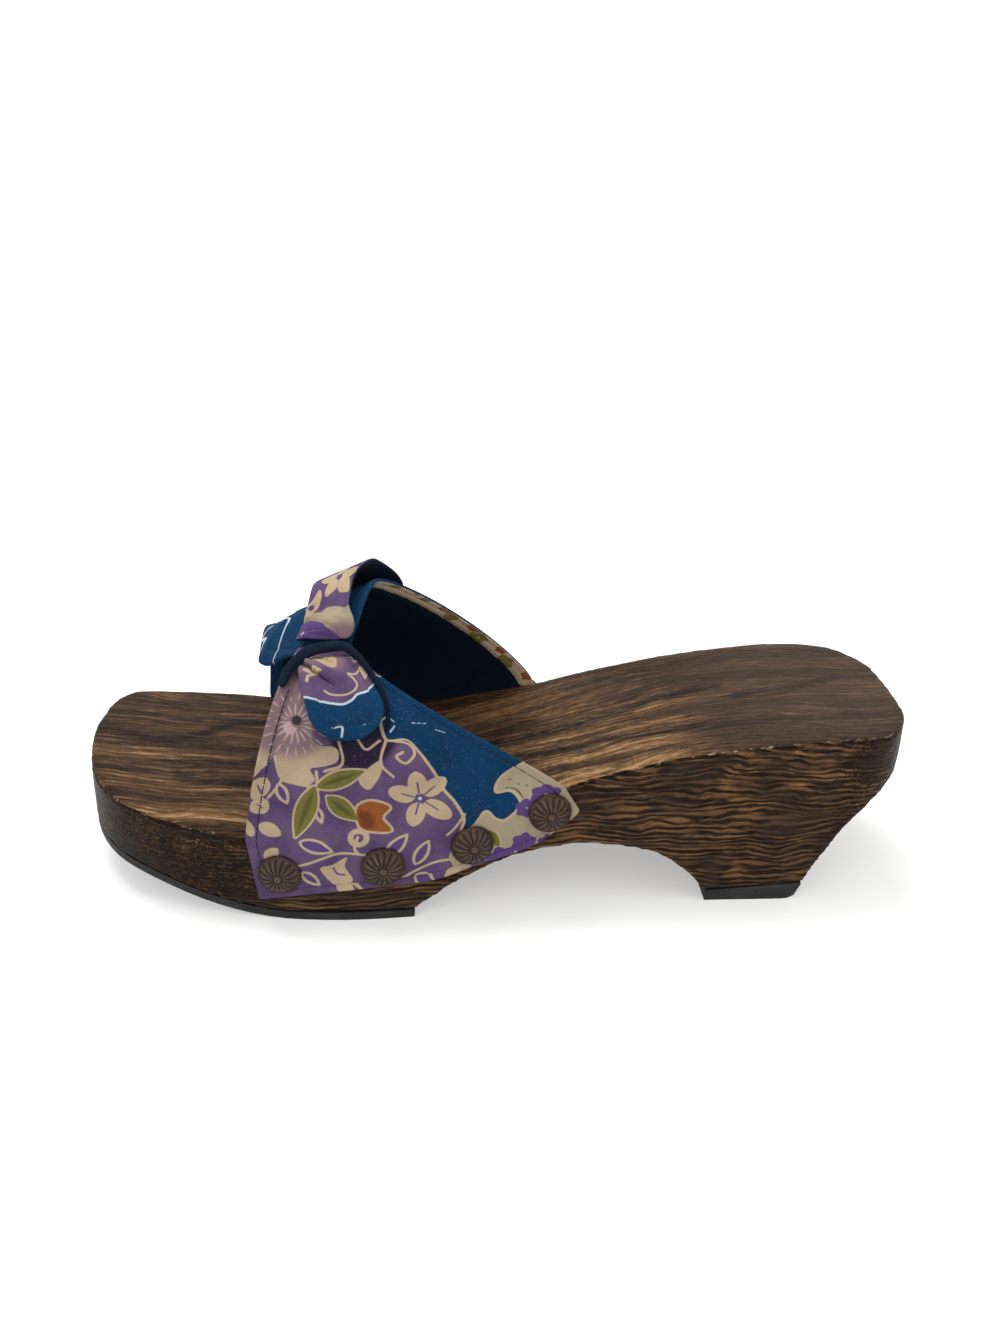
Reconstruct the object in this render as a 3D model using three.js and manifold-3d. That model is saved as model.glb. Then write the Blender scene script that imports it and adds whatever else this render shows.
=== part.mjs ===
// A left geta sandal: one carved wooden body, two rubber treads, a printed cotton upper
// of two panels crossed in a half-knot over the instep, and four daisy-headed tacks a side.
//
// Millimetres, +Z up. While the pieces are made, x runs from the toe (0) to the heel,
// +y is the inner (medial) side and z is the height over the floor. The last lines move
// the whole sandal so that its origin is the middle of its box, on the floor.

import * as THREE from 'three';
import { mergeVertices } from 'three/addons/utils/BufferGeometryUtils.js';
import Module from 'manifold-3d';

const wasm = await Module();
wasm.setup();

// Driving dimensions of the wooden body
const shoeLength = 233;
const ballWidth = 86;
const waistWidth = 65.5;
const toeRise = 30;
const ballRise = 24.4;
const heelRise = 51.2;
const toeSpring = 11;
const springLength = 62;
const archHeight = 19.2;
const edgeRadius = 1.4;
const heelBaseLength = 28;
const heelSetback = 28.5;

// Rubber treads
const treadThickness = 2.6;
const treadInset = 0.4;
const foreTreadStart = 5;
const foreTreadLength = 91;
const heelTreadFront = 3.4;
const heelTreadWedge = 2.2;
const heelTreadBevel = 4.5;

// Upper: the room under each panel's crown is measured from the ball of the footbed
const clothWall = 1.6;
const archRoom = 40.6;
const instepRoom = 52.6;
const hemDroop = 9;
const tailWall = 1.8;
const tabWidth = 18.6;
const tabStand = 1.5;
const strapWidth = 11.5;
const strapStand = 3.9;
const lumpHeight = 5.2;
const loopWidth = 4.4;
const loopThickness = 2.4;

// Tacks
const tackHead = 11.6;
const tackDome = 2.9;
const tackFlutes = 12;
const tackShank = 2;
const tackDepth = 9;

// Fits
const clearance = 0.3;
const shankClearance = 0.35;

// Places that follow from them
const foreTreadEnd = foreTreadStart + foreTreadLength;
const heelBaseEnd = shoeLength - heelSetback;
const heelBaseStart = heelBaseEnd - heelBaseLength;
const archRise = ballRise + archRoom;
const instepRise = ballRise + instepRoom;

// Small helpers for numbers
const lerp = (a, b, t) => a + (b - a) * t;
const clamp = (t) => Math.min(1, Math.max(0, t));
const smooth = (t) => clamp(t) ** 2 * (3 - 2 * clamp(t));
const steps = (count) => Array.from({ length: count + 1 }, (_, i) => i / count);

// A monotone-looking curve through table rows, read by its first column
function readCurve(rows, from, to) {
  const slope = (i) => {
    const before = rows[Math.max(0, i - 1)];
    const after = rows[Math.min(rows.length - 1, i + 1)];
    return (after[to] - before[to]) / (after[from] - before[from]);
  };
  return (at) => {
    let i = 0;
    while (i < rows.length - 2 && at > rows[i + 1][from]) i += 1;
    const span = rows[i + 1][from] - rows[i][from];
    const t = clamp((at - rows[i][from]) / span);
    const rise = rows[i + 1][to] - rows[i][to];
    const startSlope = slope(i) * span;
    const endSlope = slope(i + 1) * span;
    return rows[i][to] + startSlope * t + (3 * rise - 2 * startSlope - endSlope) * t * t
      + (startSlope + endSlope - 2 * rise) * t ** 3;
  };
}

// Plan outline, anticlockwise from the toe. along is a share of the shoe's length; out is
// a share of half the ball's width in front of the waist and of half the waist's behind.
const planRows = [
  { along: 0.001, out: 0.43 }, { along: 0.008, out: 0.07 }, { along: 0.028, out: -0.32 },
  { along: 0.066, out: -0.62 }, { along: 0.137, out: -0.83 }, { along: 0.225, out: -0.94 },
  { along: 0.322, out: -0.985 }, { along: 0.425, out: -0.94 }, { along: 0.520, out: -0.845 },
  { along: 0.620, out: -1.045 }, { along: 0.760, out: -1.02 }, { along: 0.890, out: -0.985 },
  { along: 0.957, out: -0.915 }, { along: 0.990, out: -0.58 }, { along: 1.000, out: 0.03 },
  { along: 0.993, out: 0.50 }, { along: 0.962, out: 0.87 }, { along: 0.905, out: 1.01 },
  { along: 0.800, out: 0.99 }, { along: 0.680, out: 0.945 }, { along: 0.560, out: 0.985 },
  { along: 0.440, out: 0.855 }, { along: 0.310, out: 0.965 }, { along: 0.190, out: 1.015 },
  { along: 0.090, out: 0.97 }, { along: 0.024, out: 0.865 },
];
const waistStart = 0.535;

function planPoint(row) {
  const half = (row.along > waistStart ? waistWidth : ballWidth) / 2;
  return new THREE.Vector3(row.along * shoeLength, row.out * half, 0);
}

const planCurve = new THREE.CatmullRomCurve3(planRows.map(planPoint), true, 'centripetal');
const planLoop = planCurve.getPoints(420);

// The outer and inner side of the plan at one place along the shoe
function sidesAt(x) {
  const ys = [];
  planLoop.forEach((p, i) => {
    const q = planLoop[(i + 1) % planLoop.length];
    if ((p.x - x) * (q.x - x) <= 0 && p.x !== q.x) ys.push(lerp(p.y, q.y, (x - p.x) / (q.x - p.x)));
  });
  return { outer: Math.min(...ys), inner: Math.max(...ys) };
}

const planStart = Math.min(...planLoop.map((p) => p.x)) + 0.01;
const planEnd = Math.max(...planLoop.map((p) => p.x)) - 0.01;

// Footbed height: a share of the rise from the ball's height to the heel's
const footbedRows = [
  { along: 0.22, lift: 0.01 }, { along: 0.30, lift: 0 }, { along: 0.36, lift: 0.04 },
  { along: 0.43, lift: 0.15 }, { along: 0.495, lift: 0.285 }, { along: 0.56, lift: 0.435 },
  { along: 0.62, lift: 0.60 }, { along: 0.685, lift: 0.75 }, { along: 0.75, lift: 0.855 },
  { along: 0.83, lift: 0.94 }, { along: 0.92, lift: 0.99 }, { along: 1.0, lift: 1 },
];
const footbedLift = readCurve(footbedRows, 'along', 'lift');
const toeTurn = 0.26;

function footbed(x) {
  const along = x / shoeLength;
  const heelPart = ballRise + (heelRise - ballRise) * footbedLift(along);
  const toePart = (toeRise - ballRise) * clamp(1 - along / toeTurn) ** 1.25;
  return heelPart + toePart;
}

// Underside of the wood: toe spring, forefoot seat, arch, heel base and undercut back
const springRows = [
  { along: 0, lift: 1 }, { along: 0.18, lift: 0.90 }, { along: 0.35, lift: 0.74 },
  { along: 0.52, lift: 0.51 }, { along: 0.68, lift: 0.27 }, { along: 0.84, lift: 0.085 },
  { along: 1, lift: 0 },
];
const springLift = readCurve(springRows, 'along', 'lift');

const archRows = [
  { along: 0, lift: 0 }, { along: 0.09, lift: 0.31 }, { along: 0.21, lift: 0.61 },
  { along: 0.35, lift: 0.86 }, { along: 0.52, lift: 1 }, { along: 0.60, lift: 0.995 },
  { along: 0.72, lift: 0.92 }, { along: 0.83, lift: 0.76 }, { along: 0.93, lift: 0.40 },
  { along: 1, lift: 0 },
];
const archLift = readCurve(archRows, 'along', 'lift');

const backRows = [
  { along: 0, lift: 0 }, { along: 0.10, lift: 0.19 }, { along: 0.33, lift: 0.53 },
  { along: 0.58, lift: 0.80 }, { along: 0.82, lift: 0.97 }, { along: 1, lift: 1.04 },
];
const backLift = readCurve(backRows, 'along', 'lift');
const backReach = 0.742;

function treadSole(x) {
  return toeSpring * springLift(clamp(x / springLength));
}

function woodSole(x) {
  if (x < foreTreadEnd) return treadSole(x) + treadThickness;
  if (x < heelBaseStart) {
    const along = (x - foreTreadEnd) / (heelBaseStart - foreTreadEnd);
    const seat = lerp(treadThickness, heelTreadFront, along);
    return seat + (archHeight - seat) * archLift(along);
  }
  if (x < heelBaseEnd) {
    return heelTreadFront + heelTreadWedge * (x - heelBaseStart) / (heelBaseEnd - heelBaseStart);
  }
  const along = (x - heelBaseEnd) / (shoeLength - heelBaseEnd);
  return lerp(heelTreadFront + heelTreadWedge, heelRise * backReach, backLift(along));
}

// Closed bodies from rings of points: every ring has the same count, and the two end
// rings are closed by a fan about their middle
function ringBody(rings) {
  const points = rings.flat();
  const width = rings[0].length;
  const faces = [];
  for (let i = 0; i < rings.length - 1; i += 1) {
    for (let j = 0; j < width; j += 1) {
      const a = i * width + j;
      const b = i * width + ((j + 1) % width);
      faces.push(a, b, b + width, a, b + width, a + width);
    }
  }
  [0, rings.length - 1].forEach((end) => {
    const ring = rings[end];
    const middle = new THREE.Vector3();
    ring.forEach((p) => middle.addScaledVector(p, 1 / width));
    const centre = points.push(middle) - 1;
    for (let j = 0; j < width; j += 1) {
      const a = end * width + j;
      const b = end * width + ((j + 1) % width);
      if (end === 0) faces.push(centre, b, a);
      else faces.push(centre, a, b);
    }
  });
  const body = new THREE.BufferGeometry().setFromPoints(points);
  body.setIndex(faces);
  return outward(body);
}

// Turns a closed body right side out where its rings ran the other way
function outward(body) {
  const place = body.attributes.position;
  const index = body.index;
  const corners = [new THREE.Vector3(), new THREE.Vector3(), new THREE.Vector3()];
  let volume = 0;
  for (let i = 0; i < index.count; i += 3) {
    corners.forEach((corner, k) => corner.fromBufferAttribute(place, index.getX(i + k)));
    volume += corners[0].dot(corners[1].clone().cross(corners[2]));
  }
  if (volume < 0) {
    for (let i = 0; i < index.count; i += 3) {
      const second = index.getX(i + 1);
      index.setX(i + 1, index.getX(i + 2));
      index.setX(i + 2, second);
    }
  }
  return body;
}

// Solids for the joins and cuts
function toSolid(geometry) {
  const bare = geometry.clone();
  Object.keys(bare.attributes).forEach((name) => {
    if (name !== 'position') bare.deleteAttribute(name);
  });
  const merged = mergeVertices(bare, 1e-4);
  return new wasm.Manifold(new wasm.Mesh({
    numProp: 3,
    vertProperties: Float32Array.from(merged.attributes.position.array),
    triVerts: Uint32Array.from(merged.index.array),
  }));
}

function toGeometry(solid) {
  const mesh = solid.getMesh();
  const geometry = new THREE.BufferGeometry();
  geometry.setAttribute('position', new THREE.BufferAttribute(mesh.vertProperties, 3));
  geometry.setIndex(new THREE.BufferAttribute(mesh.triVerts, 1));
  return geometry;
}

// Places along the shoe, closer together where the outline turns at toe and heel
function stationsBetween(from, to, count, extra = []) {
  const even = steps(count).map((t) => {
    const whole = planStart + (planEnd - planStart) * (1 - Math.cos(Math.PI * t)) / 2;
    return whole;
  }).filter((x) => x > from + 0.6 && x < to - 0.6);
  const kept = even.filter((x) => extra.every((e) => Math.abs(e - x) > 0.6));
  return [from, ...kept, ...extra.filter((e) => e > from && e < to), to].sort((a, b) => a - b);
}

// Wooden body: cross-sections with eased top edges from toe to heel
function woodRing(x) {
  const { outer, inner } = sidesAt(x);
  const fromEnd = Math.min(x - planStart, planEnd - x);
  const ease = Math.min(edgeRadius, (inner - outer) / 4);
  const endDrop = edgeRadius - Math.sqrt(Math.max(0, edgeRadius ** 2 - Math.max(0, edgeRadius - fromEnd) ** 2));
  const top = footbed(x) - endDrop;
  const low = woodSole(x);
  const corner = (side, turn) => {
    const sign = Math.sign(side);
    const angle = turn * Math.PI / 2;
    const y = side - sign * ease * (1 - Math.cos(angle));
    return new THREE.Vector3(x, y, top - ease * (1 - Math.sin(angle)));
  };
  const middle = (outer + inner) / 2;
  const shifted = (p) => p.setY(p.y + middle);
  const rounds = steps(3);
  return [
    new THREE.Vector3(x, outer, low),
    ...rounds.map((t) => shifted(corner(outer - middle, t))),
    ...rounds.map((t) => shifted(corner(inner - middle, 1 - t))),
    new THREE.Vector3(x, inner, low),
  ];
}

function woodGeometry() {
  const marks = [foreTreadEnd, heelBaseStart, heelBaseEnd];
  return ringBody(stationsBetween(planStart, planEnd, 64, marks).map(woodRing));
}

// A tread: a slab under the wood between two places along the shoe
function treadGeometry(from, to, low, high, count) {
  const rings = stationsBetween(from, to, count).map((x) => {
    const { outer, inner } = sidesAt(x);
    const a = outer + treadInset;
    const b = inner - treadInset;
    return [
      new THREE.Vector3(x, a, low(x)), new THREE.Vector3(x, a, high(x)),
      new THREE.Vector3(x, b, high(x)), new THREE.Vector3(x, b, low(x)),
    ];
  });
  return ringBody(rings);
}

// The heel's tread is a wedge with its back corner rounded up
function heelTreadGeometry() {
  const from = heelBaseStart + treadInset;
  const to = heelBaseEnd - treadInset;
  const low = (x) => heelTreadBevel - Math.sqrt(heelTreadBevel ** 2 - Math.max(0, x - to + heelTreadBevel) ** 2);
  const high = (x) => woodSole(x) - clearance;
  return treadGeometry(from, to, (x) => Math.min(low(x), high(x) - 0.4), high, 140);
}

// Upper. Two panels, each from a hem tacked on the wood's side, over the footbed's edge
// and up to the knot. Across a panel, u runs from its toe edge (0) to its heel edge (1).
const hemRows = [
  { along: 0, lift: 0 }, { along: 0.16, lift: 0.11 }, { along: 0.32, lift: 0.18 },
  { along: 0.55, lift: 0.245 }, { along: 0.66, lift: 0.36 }, { along: 0.76, lift: 0.45 },
  { along: 0.845, lift: 0.555 }, { along: 0.905, lift: 0.69 }, { along: 0.975, lift: 0.90 },
  { along: 1, lift: 1 },
];
const hemLift = readCurve(hemRows, 'along', 'lift');

// A place over the footbed, by a share of the length and of half the ball's width
const overFootbed = (along, out, z) => new THREE.Vector3(along * shoeLength, out * ballWidth / 2, z);

// A panel's hem and the edge it bends over are shares of the length; low and high are the
// hem's ends as shares of the footbed's height there
const outerPanel = {
  side: 'outer',
  sign: -1,
  hem: { toe: 0.236, heel: 0.5987, low: 0.285, high: 0.7975 },
  edge: { toe: 0.2245, heel: 0.5815 },
  crown: { toe: overFootbed(0.2747, -0.256, archRise), heel: overFootbed(0.3391, -0.256, archRise) },
  bulge: { toe: 2.5, heel: 1.9 },
};
const innerPanel = {
  side: 'inner',
  sign: 1,
  hem: { toe: 0.2124, heel: 0.588, low: 0.284, high: 0.8125 },
  edge: { toe: 0.2039, heel: 0.5644 },
  crown: {
    toe: overFootbed(0.2232, 0.093, archRise - clothWall),
    heel: overFootbed(0.3605, 0.186, instepRise),
  },
  bulge: { toe: 2.1, heel: 2 },
};

// Shares of a panel's course from hem to knot: the part on the wood, then the arch
const onWood = 0.26;
const crownAt = 0.80;

// Where the inner panel dips under the outer one, past its crown
const tuckDepth = clothWall * 0.7;
const tuckToe = overFootbed(0.2768, -0.3256, archRise - tuckDepth);
const tuckHeel = overFootbed(0.3262, -0.3256, archRise - tuckDepth);
const droopSpan = 0.24;

function hemPoint(panel, u) {
  const toe = panel.hem.toe * shoeLength;
  const heel = panel.hem.heel * shoeLength;
  const low = panel.hem.low * footbed(toe);
  const high = panel.hem.high * footbed(heel);
  return { x: lerp(toe, heel, u), z: lerp(low, high, hemLift(u)) };
}

function onSide(panel, x, z) {
  return new THREE.Vector3(x, sidesAt(x)[panel.side] + panel.sign * clearance, z);
}

// The panel's inner face at u across and s from the hem (0) to its crown (1)
function panelPoint(panel, u, s) {
  const hem = hemPoint(panel, u);
  const edgeX = lerp(panel.edge.toe, panel.edge.heel, u) * shoeLength;
  const edgeZ = footbed(edgeX);
  if (s <= onWood) {
    const t = s / onWood;
    return onSide(panel, lerp(hem.x, edgeX, t), lerp(hem.z, edgeZ, t));
  }
  const climb = (s - onWood) / (1 - onWood);
  const angle = climb * Math.PI / 2;
  const power = 2 / lerp(panel.bulge.toe, panel.bulge.heel, u);
  const foot = onSide(panel, edgeX, edgeZ);
  const crown = new THREE.Vector3().lerpVectors(panel.crown.toe, panel.crown.heel, u);
  const reach = lerp(climb, Math.sin(angle) ** 1.25, u);
  return new THREE.Vector3(
    lerp(foot.x, crown.x, reach),
    lerp(crown.y, foot.y, Math.cos(angle) ** power),
    lerp(foot.z, crown.z, Math.sin(angle) ** power),
  );
}

// The inner panel goes on past its crown and dips under the outer one; its toe edge
// is slack and droops beside the knot
function innerPoint(u, s) {
  const droop = hemDroop * clamp(1 - u / droopSpan) ** 1.6 * smooth((s - 0.45) / 0.4);
  if (s <= crownAt) {
    const p = panelPoint(innerPanel, u, s / crownAt);
    p.z -= droop;
    return p;
  }
  const t = (s - crownAt) / (1 - crownAt);
  const crown = panelPoint(innerPanel, u, 1);
  const tuck = new THREE.Vector3().lerpVectors(tuckToe, tuckHeel, u);
  return new THREE.Vector3(
    lerp(crown.x, tuck.x, t),
    lerp(crown.y, tuck.y, t),
    lerp(crown.z, tuck.z, smooth(t)) - droop * (1 - smooth(t)),
  );
}

const outerPoint = (u, s) => panelPoint(outerPanel, u, s);

// A point lifted off a panel's inner face along its outward normal
function lifted(face, sign, u, s, height) {
  const step = 0.004;
  const du = face(u + step, s).sub(face(u - step, s));
  const ds = face(u, Math.min(1, s + step)).sub(face(u, Math.max(0, s - step)));
  const normal = ds.cross(du).multiplyScalar(sign).normalize();
  return face(u, s).addScaledVector(normal, height);
}
const overOuter = (u, s, height) => lifted(outerPoint, -1, u, s, height);
const overInner = (u, s, height) => lifted(innerPoint, 1, u, s, height);

// A curved sheet with a wall: at(u, s, height) between low and high heights
function sheetBody(at, across, along, low, high) {
  const points = [];
  const faces = [];
  const columns = across.length;
  const layer = columns * along.length;
  [low, high].forEach((height) => along.forEach((s) => across.forEach((u) => {
    points.push(at(u, s, typeof height === 'function' ? height(u, s) : height));
  })));
  const quad = (a, b, c, d) => faces.push(a, b, c, a, c, d);
  for (let i = 0; i < along.length - 1; i += 1) {
    for (let j = 0; j < columns - 1; j += 1) {
      const a = i * columns + j;
      quad(a, a + 1, a + 1 + columns, a + columns);
      quad(layer + a, layer + a + columns, layer + a + 1 + columns, layer + a + 1);
    }
  }
  const rim = [];
  for (let j = 0; j < columns - 1; j += 1) rim.push(j);
  for (let i = 0; i < along.length - 1; i += 1) rim.push(i * columns + columns - 1);
  for (let j = columns - 1; j > 0; j -= 1) rim.push((along.length - 1) * columns + j);
  for (let i = along.length - 1; i > 0; i -= 1) rim.push(i * columns);
  rim.forEach((a, k) => {
    const b = rim[(k + 1) % rim.length];
    quad(b, a, a + layer, b + layer);
  });
  const body = new THREE.BufferGeometry().setFromPoints(points);
  body.setIndex(faces);
  return outward(body);
}

// Tacks: where each one goes through a panel, as a share of the way along the hem, and
// its height over the hem as a share of its head
const tackRows = [
  { along: 0.07, over: 0.655 }, { along: 0.385, over: 0.57 },
  { along: 0.66, over: 0.62 }, { along: 0.905, over: 0.64 },
];

function tackFrame(panel, row) {
  const hem = hemPoint(panel, row.along);
  const x = hem.x;
  const z = hem.z + row.over * tackHead;
  const here = onSide(panel, x, z);
  const ahead = onSide(panel, x + 1, z).sub(onSide(panel, x - 1, z)).normalize();
  const out = ahead.clone().cross(new THREE.Vector3(0, 0, 1)).normalize();
  if (out.y * panel.sign < 0) out.negate();
  const turn = new THREE.Quaternion().setFromUnitVectors(new THREE.Vector3(0, 0, 1), out);
  return { here, out, turn };
}

// A tack about +Z with its head's underside at 0: a fluted dome over a round shank
function tackGeometry() {
  const around = tackFlutes * 2;
  const shankRadius = tackShank / 2;
  const headRadius = tackHead / 2;
  const rows = [
    { r: shankRadius, z: -tackDepth, flute: 0 }, { r: shankRadius, z: 0, flute: 0 },
    { r: headRadius, z: 0, flute: 0.03 }, { r: headRadius, z: 0.12, flute: 0.03 },
    { r: headRadius * 0.76, z: 0.68, flute: 0.05 }, { r: headRadius * 0.28, z: 1, flute: 0 },
  ];
  const rings = rows.map(({ r, z, flute }) => Array.from({ length: around }, (_, i) => {
    const angle = i / around * 2 * Math.PI;
    const groove = 1 - flute * (i % 2);
    const height = z > 0 ? z * tackDome * (1 - flute * 2 * (i % 2)) : z;
    return new THREE.Vector3(r * groove * Math.cos(angle), r * groove * Math.sin(angle), height);
  }));
  return ringBody(rings);
}

function pinGeometry(radius, from, to) {
  const pin = new THREE.CylinderGeometry(radius, radius, to - from, 12);
  pin.rotateX(Math.PI / 2);
  pin.translate(0, 0, (from + to) / 2);
  return pin;
}

const headSeat = clothWall + clearance;
const tacks = [outerPanel, innerPanel].flatMap((panel) => tackRows.map((row, i) => {
  const { here, out, turn } = tackFrame(panel, row);
  return { name: `tack_${panel.side}_${i + 1}`, turn, seat: here.clone().addScaledVector(out, headSeat) };
}));

// Shank holes, cut through the cloth and into the wood
const shankHoles = tacks.map(({ turn, seat }) => {
  const radius = tackShank / 2 + shankClearance;
  const pin = pinGeometry(radius, -tackDepth - shankClearance, clothWall + clearance);
  return toSolid(pin.applyQuaternion(turn).translate(seat.x, seat.y, seat.z));
});

function drilled(geometry) {
  return toGeometry(shankHoles.reduce((solid, hole) => solid.subtract(hole), toSolid(geometry)));
}

function upperGeometry() {
  const across = steps(16);
  const outer = toSolid(sheetBody(overOuter, across, steps(22), 0, clothWall));
  const inner = toSolid(sheetBody(overInner, across, steps(27), 0, clothWall));
  return drilled(toGeometry(outer.add(inner)));
}

// A tail laid on a panel: rows give its course in the panel's u and s, its half width,
// its height off the panel's outer face and its own thickness
function tailBody(over, rows, columns, count) {
  const names = ['u', 's', 'half', 'lift', 'wall'];
  const curves = Object.fromEntries(names.map((name) => [name, readCurve(rows, 'along', name)]));
  const gap = 0.02;
  const at = (q, t, share) => {
    const u = curves.u(t);
    const s = curves.s(t);
    const perUnit = over(u + gap, s, 0).distanceTo(over(u - gap, s, 0)) / (2 * gap);
    const across = (q * 2 - 1) * curves.half(t) / perUnit;
    const height = clothWall + clearance + curves.lift(t) + share * curves.wall(t);
    return over(u + across, s, height);
  };
  return sheetBody(at, steps(columns), steps(count), 0, 1);
}

// Half width of a tail that ends in a half round
const roundEnd = (t, from, half) => half * Math.sqrt(Math.max(0.05, 1 - (clamp(t - from) / (1 - from)) ** 2.3));

// Outer tail, a tab: the inner panel's end, out from under the loop and down the outer panel
const tabCourse = { root: { u: 0.50, s: 0.905 }, tip: { u: 0.42, s: 0.575 } };
const tabRows = steps(10).map((t) => ({
  along: t,
  u: lerp(tabCourse.root.u, tabCourse.tip.u, t) + 0.025 * Math.sin(Math.PI * t),
  s: lerp(tabCourse.root.s, tabCourse.tip.s, t),
  half: roundEnd(t, 0.62, tabWidth / 2) * lerp(0.5, 1, smooth(t * 2)),
  lift: tabStand * smooth((t - 0.25) * 1.5),
  wall: tailWall,
}));

// Inner tail, a strap: the outer panel's end, a pleated lump beside the loop, then an arch
// over the instep that comes down on the inner panel
const strapRows = [
  { along: 0, u: 0.59, s: 0.965, half: 0.48, lift: 0.62, wall: 0.30 },
  { along: 0.09, u: 0.61, s: 0.945, half: 0.60, lift: 0.40, wall: 0.80 },
  { along: 0.19, u: 0.64, s: 0.915, half: 0.64, lift: 0.25, wall: 1 },
  { along: 0.29, u: 0.67, s: 0.87, half: 0.54, lift: 0.55, wall: 0.45 },
  { along: 0.42, u: 0.73, s: 0.81, half: 0.60, lift: 0.95, wall: 0.34 },
  { along: 0.56, u: 0.79, s: 0.75, half: 0.74, lift: 1, wall: 0.34 },
  { along: 0.70, u: 0.80, s: 0.68, half: 0.72, lift: 0.80, wall: 0.34 },
  { along: 0.85, u: 0.79, s: 0.605, half: 0.66, lift: 0.42, wall: 0.34 },
  { along: 0.95, u: 0.78, s: 0.56, half: 0.46, lift: 0.18, wall: 0.34 },
  { along: 1, u: 0.78, s: 0.54, half: 0.20, lift: 0.10, wall: 0.34 },
].map((row) => ({
  ...row, half: row.half * strapWidth, lift: row.lift * strapStand, wall: row.wall * lumpHeight,
}));

// Knot loop: the outer panel's edge rolled over the tab's root, a roll along a course on
// the panel that rises over the tab and thins out towards both ends
const loopRows = [
  { along: 0, u: 0.03, s: 0.765, rise: 0, size: 0.5 },
  { along: 0.12, u: 0.06, s: 0.85, rise: 0.3, size: 0.8 },
  { along: 0.24, u: 0.22, s: 0.905, rise: 1.05, size: 1 },
  { along: 0.40, u: 0.52, s: 0.925, rise: 1.1, size: 1 },
  { along: 0.55, u: 0.79, s: 0.91, rise: 1.1, size: 1 },
  { along: 0.68, u: 0.89, s: 0.84, rise: 1.1, size: 0.8 },
  { along: 0.80, u: 0.85, s: 0.75, rise: 1, size: 0.55 },
  { along: 0.90, u: 0.76, s: 0.66, rise: 0.8, size: 0.42 },
  { along: 1, u: 0.62, s: 0.565, rise: 0, size: 0.32 },
];

const rollSides = 8;

function loopGeometry() {
  const names = ['u', 's', 'rise', 'size'];
  const curves = Object.fromEntries(names.map((name) => [name, readCurve(loopRows, 'along', name)]));
  const seat = (t) => clothWall + clearance + curves.rise(t) * (tailWall + clearance);
  const place = (t, height) => overOuter(curves.u(t), curves.s(t), height);
  const rings = steps(30).map((t) => {
    const ahead = place(Math.min(1, t + 0.01), seat(t)).sub(place(Math.max(0, t - 0.01), seat(t)));
    const up = place(t, 1).sub(place(t, 0)).normalize();
    const side = ahead.cross(up).normalize();
    const width = loopWidth * curves.size(t) / 2;
    const thick = loopThickness * Math.sqrt(curves.size(t)) / 2;
    const middle = place(t, seat(t) + thick);
    return Array.from({ length: rollSides }, (_, i) => {
      const angle = i / rollSides * 2 * Math.PI;
      return middle.clone().addScaledVector(side, width * Math.cos(angle))
        .addScaledVector(up, thick * Math.sin(angle));
    });
  });
  return ringBody(rings);
}

const parts = new THREE.Group();
parts.name = 'geta_sandal';

function addPiece(name, geometry, material) {
  const mesh = new THREE.Mesh(geometry, material);
  mesh.name = name;
  parts.add(mesh);
  return mesh;
}

const wood = new THREE.MeshStandardMaterial({ color: 0x5a3a20, roughness: 0.5 });
const rubber = new THREE.MeshStandardMaterial({ color: 0x151515, roughness: 0.85 });
const cloth = new THREE.MeshStandardMaterial({ color: 0x6a5aa0, roughness: 0.9 });
const blueCloth = new THREE.MeshStandardMaterial({ color: 0x12507e, roughness: 0.9 });
const lining = new THREE.MeshStandardMaterial({ color: 0x121c33, roughness: 0.9 });
const bronze = new THREE.MeshStandardMaterial({ color: 0x4a3528, roughness: 0.45, metalness: 0.8 });

addPiece('wood_body', drilled(woodGeometry()), wood);
const foreLow = treadSole;
const foreHigh = (x) => treadSole(x) + treadThickness - clearance;
addPiece('forefoot_tread', treadGeometry(foreTreadStart, foreTreadEnd, foreLow, foreHigh, 64), rubber);
addPiece('heel_tread', heelTreadGeometry(), rubber);
addPiece('upper', upperGeometry(), cloth);
addPiece('knot_loop', loopGeometry(), lining);
addPiece('outer_tail', tailBody(overOuter, tabRows, 8, 14), blueCloth);
addPiece('inner_tail', tailBody(overInner, strapRows, 6, 26), cloth);

tacks.forEach(({ name, turn, seat }) => {
  const mesh = addPiece(name, tackGeometry(), bronze);
  mesh.quaternion.copy(turn);
  mesh.position.copy(seat);
});

const box = new THREE.Box3().setFromObject(parts);
const centre = box.getCenter(new THREE.Vector3());
parts.position.set(-centre.x, -centre.y, -box.min.z);

export default parts;
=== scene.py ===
import math

import bmesh
import bpy
import numpy as np
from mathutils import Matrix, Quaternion, Vector, noise
from mathutils.bvhtree import BVHTree


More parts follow.
